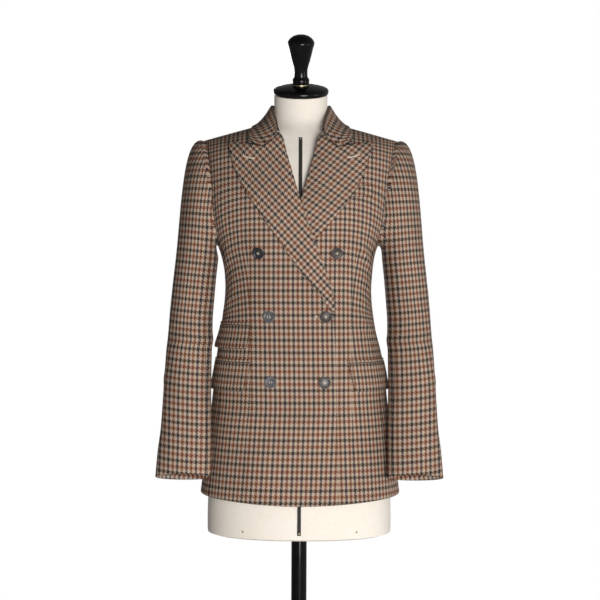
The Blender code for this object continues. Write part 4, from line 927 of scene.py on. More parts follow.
def linen_material(name):
    """Stretched cream linen: a plain weave with slubs and slight soiling."""
    f = Finish(name, 0.86, Sheen_Weight=0.12, Specular_IOR_Level=0.25)
    place = f.node("UVMap", uv_map="grain")
    across, up = [f.maths("SINE", f.maths("MULTIPLY", f.node("SeparateXYZ", {0: place}, k), math.tau / LINEN_THREAD))
                  for k in (0, 1)]
    slubs = f.maths("ADD", *[f.noise(f.scaled(place, *scale, 1.0), 1.0, 2.0)
                             for scale in ((60.0, 1500.0), (1500.0, 60.0))])
    body = f.ramp(f.maths("MULTIPLY", slubs, 0.5), [(0.30, (0.800, 0.735, 0.650)), (0.62, (0.900, 0.850, 0.785))])
    soil = f.ramp(f.noise(place, 9.0, 3.0), [(0.3, (0.955, 0.94, 0.92)), (0.7, (1.0, 1.0, 1.0))])
    height = f.maths("ADD", f.maths("MULTIPLY", f.maths("MULTIPLY", across, up), 0.5), slubs)
    return f.finished(f.blend("MULTIPLY", 1.0, body, soil), height, 0.00016, 0.45)


def lacquer_material(name):
    """Black lacquered wood with a clear coat and faint handling marks."""
    f = Finish(name, 0.28, Specular_IOR_Level=0.08, Coat_Weight=0.30, Coat_Roughness=0.05)
    place = f.node("TexCoord", output="Object")
    rub = f.noise(place, 42.0, 5.0, Roughness=0.6)
    f.join("Roughness", f.spread(rub, 0.3, 0.75, 0.21, 0.28))
    pores = f.noise(f.scaled(place, 300.0, 300.0, 18.0), 1.0, 3.0)
    return f.finished(f.ramp(rub, [(0.3, (0.0016, 0.0016, 0.0020)), (0.75, (0.0046, 0.0044, 0.0048))]),
                      pores, 0.00005, 0.25)


def metal_material(name, low, high, roughness):
    """Metal with a slightly uneven polish."""
    f = Finish(name, roughness, Metallic=1.0)
    noise = f.noise(f.node("TexCoord", output="Object"), 260.0, 4.0)
    f.join("Roughness", f.spread(noise, 0.0, 1.0, roughness - 0.06, roughness + 0.10))
    return f.finished(f.ramp(noise, [(0.3, low), (0.7, high)]))


def horn_material(name, dark, light, seed):
    """Polished horn: smoky bands that run across the disc."""
    f = Finish(name, 0.36, Specular_IOR_Level=0.30, Coat_Weight=0.10, Coat_Roughness=0.20)
    place = f.node("TexCoord", output="Object")
    turned = f.node("Mapping", {0: place, 1: (seed, seed * 0.7, 0.0), 2: (0.0, 0.9 + seed, 0.0),
                                3: (70.0, 70.0, 190.0)})
    bands = f.noise(turned, 1.0, 4.0, Roughness=0.6, Distortion=1.2)
    return f.finished(f.ramp(bands, [(0.32, dark), (0.62, light)]), f.noise(place, 1600.0, 2.0), 0.00004, 0.35)


def ribbed_material(name, roughness, sheen, scale, distortion, way, stops, distance):
    """Sewing thread or woven tape: bands across it, in colour and in relief."""
    f = Finish(name, roughness, Sheen_Weight=sheen)
    rib = f.wave(f.node("TexCoord", output="Object"), scale, distortion, way)
    return f.finished(f.ramp(rib, stops), rib, distance, 0.5)


def thread_material(name, low, high):
    return ribbed_material(name, 0.72, 0.2, 900.0, 1.5, "DIAGONAL", [(0.2, low), (0.8, high)], 0.00008)


def floor_material(name):
    """Pale floor that fades out into the white surround."""
    f = Finish(name, 0.85, Base_Color=(0.93, 0.93, 0.93, 1))
    far = f.node("VectorMath", {0: f.node("TexCoord", output="Object")}, "Value", operation="LENGTH")
    f.join("Alpha", f.node("MapRange", {0: far, 1: FLOOR_RADIUS * 0.5, 2: FLOOR_RADIUS * 0.98, 3: 1.0, 4: 0.0},
                           interpolation_type="SMOOTHERSTEP"))
    return f.made


wool = wool_material("checked_wool_woven")
# A copy of the wool darkened to 0.30: painted shade along the rims of every cloth piece.
wool_painted_edge_shade = wool_material("checked_wool_painted_edge_shade", 0.30)
lining = lining_material("satin_lining")
linen = linen_material("stretched_linen")
lacquer = lacquer_material("black_lacquer")
brass = metal_material("old_brass", (0.40, 0.34, 0.20), (0.62, 0.55, 0.36), 0.34)
steel = metal_material("pin_steel", (0.50, 0.50, 0.50), (0.75, 0.75, 0.76), 0.25)
cream_thread = thread_material("cream_thread", (0.62, 0.52, 0.38), (0.80, 0.72, 0.58))
brown_thread = thread_material("brown_thread", (0.15, 0.08, 0.045), (0.30, 0.18, 0.11))
tape_finish = ribbed_material("woven_tape", 0.78, 0.15, 260.0, 0.4, "Z",
                              [(0.1, (0.010, 0.009, 0.009)), (0.9, (0.030, 0.026, 0.025))], 0.0001)


# ------------------------------------------------------------------ blazer panels
FACING = 0.075          # how far the wool facing reaches in from a front's edge
HEM_TURN_UP = 0.035     # depth of the wool turned up inside the hem
GROOVE = 0.0005         # depth of a dart's line
SEAM_HALF = SEAM * 0.55


def panel(node, places, uv, seams, flip, outs=None, facing=-1.0, **more):
    """A panel that lies on the torso, lined above the turned-up hem and beyond its facing."""
    outs = outs or [[0.0] * len(row) for row in places]
    outer, inner = [pull_in(grid, seams) for grid in laid(places, outs)]

    def lined(r, c):
        return (outer[r][c] - outer[r][0]).length > facing and places[r][c][1] > HEM_SIDE + HEM_TURN_UP

    garment(node, outer, inner, uv, "draped", ["form_body_linen"], lined=lined, flip=flip, **more)


def front(side, side_name):
    """A front with its dart; a column of points follows the dart down to the hem."""
    before, after, near = 26, 20, 0.006     # columns inside and outside the dart, and their gap to it
    places, outs, jumps = [], [], []
    for row in front_rows(side):
        split = share_at(row, side * smooth(DARTS[side], row[0]))
        shares = [split * k / before * (1 - near) for k in range(before + 1)] + [split]
        shares += [mix(split + near, 1.0, k / after) for k in range(after + 1)]
        places.append([front_place(row, share) for share in shares])
        outs.append([base_out(skin(*place).x, place[1], side) for place in places[-1]])
        outs[-1][before + 1] -= GROOVE * ease(row[0], DART_TOP, DART_TOP - 0.02)
        jumps.append(side * smooth(INTAKE, row[0]))
    uv = [[front_grain(*place, side) for place in row] for row in places]
    panel(f"front_{side_name}", places, uv, ("last", "top"), side == RIGHT, outs, FACING, jump=(before + 1, jumps))


def side_body(side, side_name):
    tops = [armhole(turn, side) for turn in range(FRONT_JOIN, BACK_JOIN + 1, TURN_STEP)]
    columns = len(tops) - 1
    places = []
    for level in LOW_ROWS[:-1]:
        first, last = [side * smooth(SIDE_SEAMS, level, k) for k in (1, 2)]
        bearings = [mix(mix(first, last, k / columns), top[0], ease(level, 0.840, 0.900)) for k, top in enumerate(tops)]
        places.append([(bearing, row_height(level, bearing)) for bearing in bearings])
    places.append(tops)
    uv = level_grain(places, side * 90.0, columns // 2)
    panel(f"side_{side_name}", places, uv, ("first", "last", "top"), side == RIGHT)


def back(side, side_name):
    """A back half from the centre seam to the side seam, armhole and shoulder."""
    columns = 36
    rise = [armhole(turn, side) for turn in range(BACK_JOIN, 360, TURN_STEP)] + [(side * 90.0, RIDGE_HEIGHT)]
    foot, tip = rise[0][1], rise[-1][1]
    rows = [(level, side * smooth(SIDE_SEAMS, level, 2), level) for level in LOW_ROWS[:-1]]
    rows += [(mix(foot, BACK_NECK, (height - foot) / (tip - foot)), bearing, height) for bearing, height in rise]
    places = []
    for inner_height, outer_bearing, outer_height in rows:
        up = max(0.0, (outer_height - foot) / (tip - foot))
        row = []
        for k in range(columns + 1):
            share = k / columns
            bearing, height = mix(side * 180.0, outer_bearing, share), mix(inner_height, outer_height, share)
            if up > 0 and 0 < share < 1:
                beyond = (share - 1 / 3) * 1.5
                x = mix(NECK_POINT[0], RIDGE_TIP, beyond) if beyond > 0 else NECK_POINT[0] * share * 3
                seam = ridge(x) if beyond >= 0 else mix(BACK_NECK, NECK_POINT[1], share * 3)
                bearing = mix(bearing, side * abs(bearing_at(side * x, seam, back=True)), up ** 2)
                height = mix(height, seam, up ** 3)
            row.append((bearing, row_height(height, bearing)))
        places.append(row)
    panel(f"back_{side_name}", places, level_grain(places, side * 180.0, 0), ("first", "last", "top"), side == LEFT)


def lapel_grain(point, side):
    (ax, az), (bx, bz), (x0, z0) = LAPEL_GRAIN[side]
    x, z = side * point.x - x0, point.z - z0
    spread = ax * bz - az * bx
    weft, warp = (x * bz - z * bx) / spread, (ax * z - az * x) / spread
    return side * warp * WARP_REPEAT, weft * WEFT_REPEAT


def lapel(side, side_name):
    """A peak lapel that turns round the front's edge and lies on the front."""
    parts = [4, 4] + [5] * (len(GORGE) - 1)
    grids = [], []
    for places in lapel_places(side):
        bearing, height = places[0]
        edge = on_torso(bearing, height, base_out(skin(bearing, height).x, height, side) - CLOTH / 2)
        normal = torso_normal(bearing, height)
        away = (skin(bearing - side, height) - skin(bearing + side, height)).normalized()
        feet = []
        for turn in (0.0, 40.0, 74.0):      # round the front's edge
            angle = math.radians(turn)
            feet.append((edge, normal * math.sin(angle) + away * math.cos(angle), CLOTH * 0.5 + LAYER))
        for k, place in enumerate(places[1:], 1):
            foot, share = skin(*place), k / (len(places) - 1)
            out = base_out(foot.x, place[1], side) + lapel_stand(share, foot.x, place[1], side)
            feet.append((foot, torso_normal(*place), out + LAPEL_CURL * ease(share, 0.75, 1.0)))
        for grid, thick in zip(grids, (CLOTH, 0.0)):
            grid.append(through([foot + way * (out + thick) for foot, way, out in feet], parts))
    uv = [[lapel_grain(point, side) for point in row] for row in grids[0]]
    garment(f"lapel_{side_name}", *grids, uv, "folded", [f"front_{side_name}_cloth"], flip=side == RIGHT,
            edge=TRIM_EDGE)


def collar_piece():
    """Stand and fall as one folded sheet from gorge to gorge."""
    half, crown = [], 3 * 3             # crown: the column along the fold
    for k in range(COLLAR_STATIONS + 1):
        path = collar_path(k / COLLAR_STATIONS)
        front = 1 - ease(k / COLLAR_STATIONS, 0.0, 0.20)
        path[:5] = [place + COLLAR_FRONT_MOVE * front for place in path[:5]]
        half.append(through(path, [3] * 4 + [4] * 5))
    grid = [[Vector((-p.x, p.y, p.z)) for p in row] for row in half] + half[-2::-1]
    rows, columns = len(grid), len(grid[0])
    along_fold = run_of([row[crown] for row in grid])
    outer, inner, uv = [], [], []
    for r, line in enumerate(grid):
        below, above, run = grid[max(r - 1, 0)], grid[min(r + 1, rows - 1)], run_of(line)
        fold_way = (grid[min(r + 2, rows - 1)][crown] - grid[max(r - 2, 0)][crown]).normalized()
        lean = (line[-1] - line[crown]).normalized().dot(fold_way)
        normals = [(above[c] - below[c]).cross(line[min(c + 1, columns - 1)] - line[max(c - 1, 0)]).normalized()
                   for c in range(columns)]
        outer.append([p + normal * CLOTH / 2 for p, normal in zip(line, normals)])
        inner.append([p - normal * CLOTH / 2 for p, normal in zip(line, normals)])
        uv.append([])
        for away in [at - run[crown] for at in run]:
            slant = max(away, 0.0) * lean
            across = math.copysign(math.sqrt(max(away ** 2 - slant ** 2, 0.0)), away)
            uv[-1].append((along_fold[r] - along_fold[rows // 2] + slant, -across))
    garment("collar", outer, inner, uv, "folded", ["back_right_cloth", "back_left_cloth"])


# ------------------------------------------------------------------------ sleeves
def width_of(a, b, turn):
    """Width of cloth between two neighbouring points round a sleeve, whose front is pressed flat."""
    arc = (b - a).length
    if not 0 < turn < 180:
        return arc
    outer = ease(math.cos(math.radians(turn)), -0.4, -0.1)
    slope = mix(1.0, mix(1.04, 1.34, ease(a.z, 0.62, 0.80)), outer)
    pressed = ease(turn, 12.0, 32.0) * (1 - ease(turn, 150.0, 170.0))
    return mix(arc, slope * abs(b.x - a.x), pressed)


def head_grain(grid, flat, first, turns, side):
    """Grain of a sleeve's head: level round it from its outermost line, and up it."""
    middle = turns.index(0)

    def at_level(c, height):
        if height <= grid[first][c].z:
            return grid[first][c]
        for r in range(first, 0, -1):
            low, high = grid[r][c], grid[r - 1][c]
            if high.z < low.z:
                return low
            if low.z <= height <= high.z:
                return low.lerp(high, (height - low.z) / max(high.z - low.z, 1e-9))
        return grid[0][c]

    def level_run(c, height):
        way = 1 if c > middle else -1
        passed = range(middle, c + way, way) if c != middle else []
        spots = [at_level(k, height) for k in passed]
        return -way * sum(width_of(a, b, turns[k] + way * 2.5) for a, b, k in zip(spots, spots[1:], passed))

    climbed = [(grid[first][middle].z, 0.0)]
    for r in range(first - 1, -1, -1):
        here, below = grid[r][middle], grid[r + 1][middle]
        if here.z > climbed[-1][0]:
            climbed.append((here.z, climbed[-1][1] + (here - below).length))
    for c, turn in enumerate(turns):
        low = grid[first][c].z
        foot, start, beside = level_run(c, low), smooth(climbed, low), ease(abs(turn), 20.0, 80.0)
        for r in range(first):
            height = grid[r][c].z
            rise = mix(smooth(climbed, height) - start, height - low, beside)
            flat[r][c] = (flat[first][c][0] + side * (level_run(c, height) - foot), flat[first][c][1] + rise)


def sleeve(side, side_name):
    """Both pieces of a sleeve from one fine tube, from the armhole to the cuff."""
    turns = list(range(UPPER_FROM, 361 + UPPER_FROM, 5))
    first, last = SLEEVE[-1][0], SLEEVE[0][0]
    cap = [0.0] + [k / 18 for k in range(18)]
    rings = [mix(first, last, k / 64) for k in range(65)]
    grid = [[sleeve_cap(share, turn, side) for turn in turns] for share in cap]
    grid += [[sleeve_ring(height, turn, side) for turn in turns] for height in rings]
    for c, turn in enumerate(turns):    # the seam allowance, turned in at the armhole
        grid[0][c] = grid[1][c] - torso_normal(*armhole(turn, side)) * 0.003
    rows, columns = len(grid), len(turns)
    normals = []
    for r, ring in enumerate(grid):
        above, below = grid[max(r - 1, 0)], grid[min(r + 1, rows - 1)]
        normals.append([(ring[(c + 1) % (columns - 1)] - ring[(c - 1) % (columns - 1)]).cross(below[c] - above[c])
                        .normalized() * side for c in range(columns)])
    for r in range(2, rows):
        height = rings[r - len(cap)] if r >= len(cap) else mix(1.02, first, cap[r])
        for c, turn in enumerate(turns):
            out = crease(SLEEVE_FOLDS[side], turn if turn < 230 else turn - 360, height, SLEEVE_AROUND)
            grid[r][c] = grid[r][c] + normals[r][c] * out * ease(r, 2, 8)
    flat = [[None] * columns for _ in range(rows)]
    inmost = turns.index(180)
    for ring, flat_row in list(zip(grid, flat))[len(cap):]:
        steps = [width_of(a, b, (turn + after) / 2) for a, b, turn, after in zip(ring, ring[1:], turns, turns[1:])]
        for c, point in enumerate(ring):
            out = sum(steps[c:inmost]) - sum(steps[inmost:c])
            flat_row[c] = (side * out, point.z - SLEEVE_TILT * side * point.x)
    head_grain(grid, flat, len(cap), turns, side)
    for part, low, high in (("upper", UPPER_FROM, UPPER_TO), ("under", UPPER_TO, 360 + UPPER_FROM)):
        chosen = [c for c, turn in enumerate(turns) if low <= turn <= high]
        outer = [[row[c] for c in chosen] for row in grid]
        inner = [[row[c] - ways[c] * CLOTH for c in chosen] for row, ways in zip(grid, normals)]
        grids = [pull_in(surface, ("first", "last")) for surface in (outer, inner)]
        garment(f"sleeve_{side_name}_{part}", *grids, [[row[c] for c in chosen] for row in flat], "hung",
                [f"front_{side_name}_cloth", f"back_{side_name}_cloth"], flip=side == RIGHT,
                lined=lambda r, c: r < rows - CUFF_ROWS)


# ---------------------------------------------------------------- pockets and trims
def pocket_grain(bearing, height, side):
    """Grain of a pocket piece, which matches the front and the side body that it lies on."""
    across, up = front_grain(bearing, height, side)
    dart = smooth(DARTS[side], min(height, 0.9))
    return across + side * smooth(INTAKE, height) * ease(abs(skin(bearing, height).x), dart - 0.0005, dart), up


def patch(node, places, outs, side, thick=CLOTH, held="hung", trims=()):
    """A small piece whose underside lies a distance out from the torso at each place."""
    outer, inner = laid(places, [[out + thick for out in row] for row in outs], thick)
    closer, shift = (FLAP_CLOSER, side * FLAP_SHIFT) if held == "hung" else (1.0, 0.0)
    uv = [[(u * closer + shift, v) for u, v in (pocket_grain(*place, side) for place in row)] for row in places]
    return garment(node, outer, inner, uv, held, [f"front_{dict(SIDES)[side]}_cloth"], trims, flip=side == RIGHT,
                   edge=TRIM_EDGE, lined=(lambda r, c: True) if held == "hung" else None)


def flap(key, side):
    """A pocket flap with rounded lower corners, and the jetting above it."""
    front_x, end_bearing, top, depth, slant, hang = FLAPS[key]
    columns, rows = 44, 16
    places, outs = [], []
    first = bearing_at(side * (front_x - 0.001), top)
    for r in range(5):
        height = top + SEAM + JETTING * r / 4
        places.append([(mix(first, side * (end_bearing + 0.5), k / columns), height) for k in range(columns + 1)])
        puff = LAYER * 0.6 + JETTING_PUFF * math.sin(math.pi * r / 4)
        outs.append([puff + base_out(skin(*place).x, height, side) for place in places[-1]])
    jet = patch(f"jet_{key}", places, outs, side, CLOTH * 0.9, "stretched")
    places, outs = [], []
    for r in range(rows + 1):
        share = r / rows
        row = []
        first = bearing_at(side * (front_x + slant * share), top - depth * share)
        wide = abs(around(side * end_bearing, top) - around(first, top))
        for k in range(columns + 1):
            nearest = min(k, columns - k) / columns * wide
            lift = FLAP_CORNER - math.sqrt(FLAP_CORNER ** 2 - max(0.0, FLAP_CORNER - nearest) ** 2)
            row.append((mix(first, side * end_bearing, k / columns), top - (depth - lift) * share))
        places.append(row)
        off = LAYER + hang * share ** 1.5 + 0.0006 * share
        outs.append([base_out(skin(*place).x, place[1], side) + off for place in row])
    patch(f"flap_{key}", places, outs, side, trims=[jet])


def welt():
    """The slanting welt of the breast pocket."""
    inner_x, outer_x, base, tall, rise = BREAST_WELT
    spots = [[(mix(inner_x, outer_x, k / 30), base + tall * r / 6 + rise * k / 30) for k in range(31)]
             for r in range(7)]
    places = [[(bearing_at(x, height), height) for x, height in row] for row in spots]
    patch("breast_welt", places, [[LAYER * 1.5] * 31] * 7, LEFT, 0.0010, "stretched")


# ------------------------------------------------------------------------- buttons
# Dark and light tint of each front button.
HORN_TINTS = (
    ((0.01, 0.011, 0.014), (0.03, 0.031, 0.036)), ((0.04, 0.032, 0.029), (0.09, 0.075, 0.068)),
    ((0.048, 0.046, 0.051), (0.125, 0.12, 0.13)), ((0.024, 0.019, 0.016), (0.064, 0.053, 0.046)),
    ((0.054, 0.054, 0.06), (0.14, 0.138, 0.15)), ((0.036, 0.032, 0.032), (0.085, 0.078, 0.078)))


def unit_button():
    """A four-hole button of radius 1 with its face towards +Z, cut once and copied."""
    def ring(x, y, z, radius, count):
        turns = [math.tau * k / count for k in range(count)]
        return [Vector((x + radius * math.cos(turn), y + radius * math.sin(turn), z)) for turn in turns]

    line = through([Vector((r, h, 0)) for r, h in BUTTON_PROFILE], 2)
    points = [p for spot in line for p in ring(0, 0, spot.y, spot.x, 48)]
    blank = mesh_object("button_blank", points, wall(len(line), 48), [], sharp=None)
    points, faces = [], []
    for x, y in ((1, 1), (1, -1), (-1, 1), (-1, -1)):
        faces += wall(2, 12, len(points))
        for z in (-0.3, 0.6):
            points += ring(x * HOLE_OFFSET, y * HOLE_OFFSET, z, HOLE_RADIUS, 12)
    drill = mesh_object("button_drill", points, faces, [], sharp=None)
    cut = blank.modifiers.new("holes", "BOOLEAN")
    cut.object, cut.operation, cut.solver = drill, "DIFFERENCE", "EXACT"
    bpy.context.view_layer.update()
    cut_mesh = bpy.data.meshes.new_from_object(blank.evaluated_get(bpy.context.evaluated_depsgraph_get()))
    for old in (blank, drill):
        bpy.data.objects.remove(old, do_unlink=True)
    return cut_mesh


def ways_along(points):
    """Direction of a line at each of its points."""
    last = len(points) - 1
    return [(points[min(k + 1, last)] - points[max(k - 1, 0)]).normalized() for k in range(last + 1)]


def tubes(name, lines, radius, finish, sides=8):
    """Closed round tubes along several lines, as one piece."""
    points, faces = [], []
    for line in lines:
        faces += wall(len(line), sides, len(points))
        for k, (point, way) in enumerate(zip(line, ways_along(line))):
            side = way.cross(Vector((0.3, 0.1, 1.0))).normalized()
            taper = 0.6 if k in (0, len(line) - 1) else 1.0
            points += circle(point, side, side.cross(way).normalized(), radius * taper, sides)
    settled(mesh_object(name, points, faces, [finish]))


def sewn_button(name, node, centre, normal, radius, finish, turn, cross):
    """A button from the cut mesh, turned a little, with thread through its holes."""
    side = Z_WAY.cross(normal).normalized()
    spun = side * math.cos(turn) + normal.cross(side).normalized() * math.sin(turn)
    up = normal.cross(spun).normalized()
    mesh = button_mesh.copy()
    place = Matrix((spun, up, normal)).transposed().to_4x4()
    place.translation = centre
    mesh.transform(place @ Matrix.Scale(radius, 4))
    mesh.materials.clear()
    mesh.materials.append(finish)
    settled(linked(name, mesh, 35.0), node)
    lines = []
    first, second = ((1, 1), (1, -1)) if cross else ((-1, 1), (1, 1))
    for (ax, ay), (bx, by) in (((-1, -1), first), ((-1, 1) if cross else (1, -1), second)):
        line = []
        for k in range(9):
            rise = 0.17 + 0.10 * math.sin(math.pi * k / 8) - (0.10 if k in (0, 8) else 0.0)
            x, y = mix(ax, bx, k / 8) * HOLE_OFFSET, mix(ay, by, k / 8) * HOLE_OFFSET
            line.append(centre + (spun * x + up * y + normal * rise) * radius)
        lines += [line, [p + up * radius * 0.035 + spun * radius * 0.02 for p in line]]
    tubes(name + "_thread", lines, radius * 0.040, cream_thread)


def buttons():
    horns = [horn_material(f"horn_{k + 1}", dark, light, 0.35 * k) for k, (dark, light) in enumerate(HORN_TINTS)]
    turns = (0.3, 0.9, 0.05, 0.6, 0.0, 0.75)
    crosses = (True, True, False, True, False, True)
    for k, (x, height, layer) in enumerate(BUTTONS):
        height += TOP_BUTTON_RISE if height > 0.8 else 0.0
        bearing = bearing_at(x, height)
        lift = base_out(x, height, RIGHT) if layer == "upper" else 0.0
        sewn_button(f"horn_button_{k + 1}", f"button_{k + 1}", on_torso(bearing, height, lift + 0.0008),
                    torso_normal(bearing, height), BUTTON_RADIUS, horns[k], turns[k], crosses[k])
    turn = UPPER_FROM + 13
    for side, side_name in SIDES:
        for k, height in enumerate(CUFF_BUTTON_HEIGHTS, 1):
            ring = sleeve_ring(height, turn + 3, side) - sleeve_ring(height, turn - 3, side)
            down = sleeve_ring(height - 0.004, turn, side) - sleeve_ring(height + 0.004, turn, side)
            normal = ring.cross(down).normalized() * side
            name = f"cuff_button_{side_name}_{k}"
            sewn_button("horn_" + name, name, sleeve_ring(height, turn, side) + normal * 0.0009, normal,
                        CUFF_BUTTON_RADIUS, horns[(k + 2) % 6], 0.4 * k, k % 2 == 0)


def stitched_line(name, spots, finish, width, thread):
    """A worked buttonhole: short stitches set close together across a line of (point, normal)."""
    lines = []
    for (point, normal), way in zip(spots, ways_along([point for point, _ in spots])):
        across = normal.cross(way).normalized()
        lines.append([point + across * share * width + normal * (thread * (0.9 - 0.9 * share * share))
                      for share in (-1.0, -0.5, 0.0, 0.5, 1.0)])
    tubes(name, lines, thread, finish)


def over_lapel(x, height, side):
    """Point just outside a lapel, and its outward direction, from an x and a height."""
    bearing, inner = bearing_at(side * x, height), -smooth(FRONT_EDGE, height)
    outer = smooth(LAPEL, min(height, LAPEL[-1][0]), 1 if side == RIGHT else 2)
    share = clamp((x - inner) / (outer - inner))
    out = base_out(side * x, height, side) + lapel_stand(share, x, height, side) + CLOTH
    return on_torso(bearing, height, out + 0.0002), torso_normal(bearing, height)


def keyholes():
    """Worked buttonholes near the lapels' peaks and along the front's edge."""
    for side, side_name in SIDES:
        (x0, z0), (x1, z1) = KEYHOLES[side]
        spots = [over_lapel(mix(x0, x1, k / 30), mix(z0, z1, k / 30) - 0.0012 * math.sin(math.pi * k / 30), side)
                 for k in range(31)]
        stitched_line(f"keyhole_{side_name}", spots, cream_thread, STITCH_HALF, KEYHOLE_THREAD)
    for number, (x0, x1, height) in enumerate(BUTTONHOLES, 1):
        spots = []
        for x in (mix(x0, x1, k / 32) for k in range(33)):
            bearing = bearing_at(x, height)
            out = base_out(x, height, RIGHT) + 0.0001
            spots.append((on_torso(bearing, height, out), torso_normal(bearing, height)))
        stitched_line(f"buttonhole_{number}", spots, brown_thread, STITCH_HALF, BUTTONHOLE_THREAD)
        stitched_line(f"buttonhole_{number}_bar", spots[:3], cream_thread, BAR_HALF, BAR_THREAD)


# ------------------------------------------------------------------- dress form
def form_ring(at):
    """A ring of the form between two of the table's, by its number."""
    return [smooth([(k, ring[column]) for k, ring in enumerate(FORM)], at) for column in range(7)]


def form_point(ring, turn):
    side_z, front_z, back_z, wide, front, back, square = ring
    c = squared(math.cos(turn), square)
    end_z, depth = (front_z, front) if c > 0 else (back_z, back)
    return Vector((wide * squared(math.sin(turn), square), -c * depth, mix(side_z, end_z, abs(c))))


def form_front(height):
    """Point of the form's front at the middle, and its outward direction."""
    below, here, above = [smooth([(ring[1], ring[4]) for ring in FORM], height + step) for step in (-0.004, 0, 0.004)]
    return Vector((0, -here, height)), Vector((0, -1, (below - above) / 0.008)).normalized()


def form_spot(x, height):
    """Point and outward direction on the form's front at an x and a height."""
    below = max(k for k, ring in enumerate(FORM) if ring[0] <= height)
    ring = form_ring(below + (height - FORM[below][0]) / (FORM[below + 1][0] - FORM[below][0]))
    turn = halved(-1.2, 1.2, lambda angle: form_point(ring, angle).x < x, 40)[0]
    along = form_point(ring, turn + 0.01) - form_point(ring, turn - 0.01)
    return form_point(ring, turn), Vector((along.y, -along.x, 0)).normalized()


def fine_form():
    """The form's skin, smooth between its named rings, with a flat bottom and neck top."""
    count, steps = 128, []
    for k in range(len(FORM) - 1):
        parts = 3 if FORM[k + 1][0] - FORM[k][0] < 0.02 else 8
        steps += [k + step / parts for step in range(parts)]
    rings = [form_ring(at) for at in steps + [len(FORM) - 1]]
    points = [form_point(ring, math.tau * k / count) for ring in rings for k in range(count)]
    runs = [run_of(points[start:start + count] + [points[start]]) for start in range(0, len(points), count)]
    faces, uvs = wall(len(rings), count, capped=False), []
    for n, face in enumerate(faces):
        r, k = divmod(n, count)
        runs_at = (runs[r][k], runs[r][k + 1], runs[r + 1][k + 1], runs[r + 1][k])
        uvs.append([(run, points[corner].z) for run, corner in zip(runs_at, face)])
    ends = fans(points, len(rings), count)
    uvs += [[(points[k].x, points[k].y) for k in face] for face in ends]
    settled(mesh_object("form_body_linen", points, faces + ends, [linen], uvs, sharp=60.0), "form_body")


def dome(name, node, centre, normal, radius, finish):
    """A domed head with a small flange."""
    side = normal.cross(Z_WAY).normalized()
    points = []
    for share, tall in HEAD_PROFILE:
        points += circle(centre + normal * (tall * radius), side, side.cross(normal).normalized(), share * radius, 24)
    settled(mesh_object(name, points, wall(len(HEAD_PROFILE), 24), [finish], sharp=50.0), node)


def tape_and_pins():
    outer, inner, uv = [], [], []
    xs = [TAPE_WIDTH * (j / 4 - 0.5) for j in range(5)]
    for k in range(141):
        height = mix(TAPE_BOTTOM, TAPE_TOP, k / 140)
        foot, normal = form_front(height)
        for grid, out in ((outer, 0.0009 + TAPE_DEPTH), (inner, 0.0009)):
            grid.append([foot + normal * out + X_WAY * x for x in xs])
        uv.append([(x, height) for x in xs])
    settled(cloth("tape_woven", outer, inner, uv, (tape_finish,))[0], "centre_tape")
    for number, x in enumerate(TACKS, 1):
        place, normal = form_spot(x, TACK_HEIGHT)
        out = 0.0019 if x == 0 else 0.0001      # the middle one lies on the tape
        dome(f"brass_tack_{number}", f"tack_{number}", place + normal * out, normal, TACK_RADIUS, brass)
    foot, normal = form_front(TAPE_TOP - 0.0030)
    dome("tape_pin", None, foot + normal * 0.0017, normal, 0.0015, steel)


# ----------------------------------------------------------------------- assembly
fine_form()
tape_and_pins()
for side, side_name in SIDES:
    for build in (front, side_body, back, lapel, sleeve):
        build(side, side_name)
collar_piece()
for key, side in (("right", RIGHT), ("left", LEFT), ("ticket", RIGHT)):
    flap(key, side)
welt()
button_mesh = unit_button()
buttons()
keyholes()

neck = Vector((0, 0, NECK_TOP))
lathe("neck_cap_lacquer", CAP_PROFILE, lacquer, NECK_TILT, neck)
lathe("cap_ring_brass", CAP_RING_PROFILE, brass, NECK_TILT, neck, parts=2)
lathe("handle_lacquer", HANDLE_PROFILE, lacquer, NECK_TILT, neck)
lathe("pole_lacquer", ((POLE_RADIUS, POLE_FOOT), (POLE_RADIUS, FORM[0][0] - SEAM)), lacquer)
lathe("base_lacquer", BASE_PROFILE, lacquer, sharp=30.0)


# --------------------------------------------------------------------------- stage
FLOOR_RADIUS = 0.72
disc = mesh_object("floor", circle(Vector((0, 0, -0.0005)), X_WAY, Y_WAY, FLOOR_RADIUS, 96), [list(range(96))],
                   [floor_material("pale_floor")], sharp=None)

scene = bpy.context.scene
scene.view_settings.view_transform = "Standard"
scene.view_settings.look = "None"

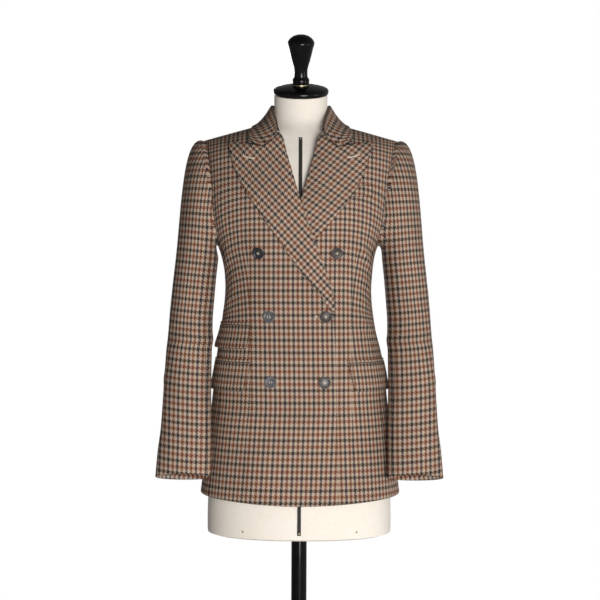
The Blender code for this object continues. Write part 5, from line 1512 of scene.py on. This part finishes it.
# White where the camera sees it; as light, brighter from low on the wearer's left.
world = bpy.data.worlds.new("white_surround")
scene.world = world
world.use_nodes = True
tree = world.node_tree
background = tree.nodes["Background"]
background.inputs["Color"].default_value = (1, 1, 1, 1)
facing = new_node(tree, "VectorMath", {0: new_node(tree, "TexCoord", output="Generated"), 1: (0.60, 0.0, -0.80)},
                  "Value", operation="DOT_PRODUCT")
fall = new_node(tree, "MapRange", {0: facing, 1: -0.8, 2: 0.5, 3: 0.08, 4: 0.36})
seen = new_node(tree, "LightPath", output="Is Camera Ray")
tree.links.new(new_node(tree, "MapRange", {0: seen, 3: fall, 4: 1.0}), background.inputs["Strength"])

# Lights: place, target height, width and power.
for name, place, target, size, power in (
        ("key_light", (0.70, -3.0, 0.50), 0.7, 1.5, 84.0), ("right_light", (2.8, -1.2, 0.70), 0.8, 1.4, 9.0),
        ("left_light", (-2.6, -1.8, 0.9), 0.8, 1.5, 2.0), ("back_light", (-0.4, 3.2, 1.0), 0.7, 1.8, 62.0)):
    lamp = bpy.data.lights.new(name, "AREA")
    lamp.shape, lamp.size, lamp.energy, lamp.color = "DISK", size, power, (1.0, 0.98, 0.95)
    made = bpy.data.objects.new(name, lamp)
    made.location = place
    made.rotation_euler = (Vector((0, 0, target)) - Vector(place)).to_track_quat("-Z", "Y").to_euler()
    scene.collection.objects.link(made)

CAMERA_LENS, CAMERA_DOWN, CAMERA_ROLL = 97.3, 1.413, 0.229      # focal length in mm, and degrees
lens = bpy.data.cameras.new("camera")
lens.lens, lens.sensor_width = CAMERA_LENS, 36.0
camera = bpy.data.objects.new("camera", lens)
scene.collection.objects.link(camera)
camera.location = (0.0, -3.0, 0.865)
camera.rotation_mode = "QUATERNION"
view_tilt = (Matrix.Rotation(math.radians(90.0 - CAMERA_DOWN), 3, "X")
             @ Matrix.Rotation(math.radians(CAMERA_ROLL), 3, "Z"))
camera.rotation_quaternion = view_tilt.to_quaternion()
scene.camera = camera

bpy.context.view_layer.update()
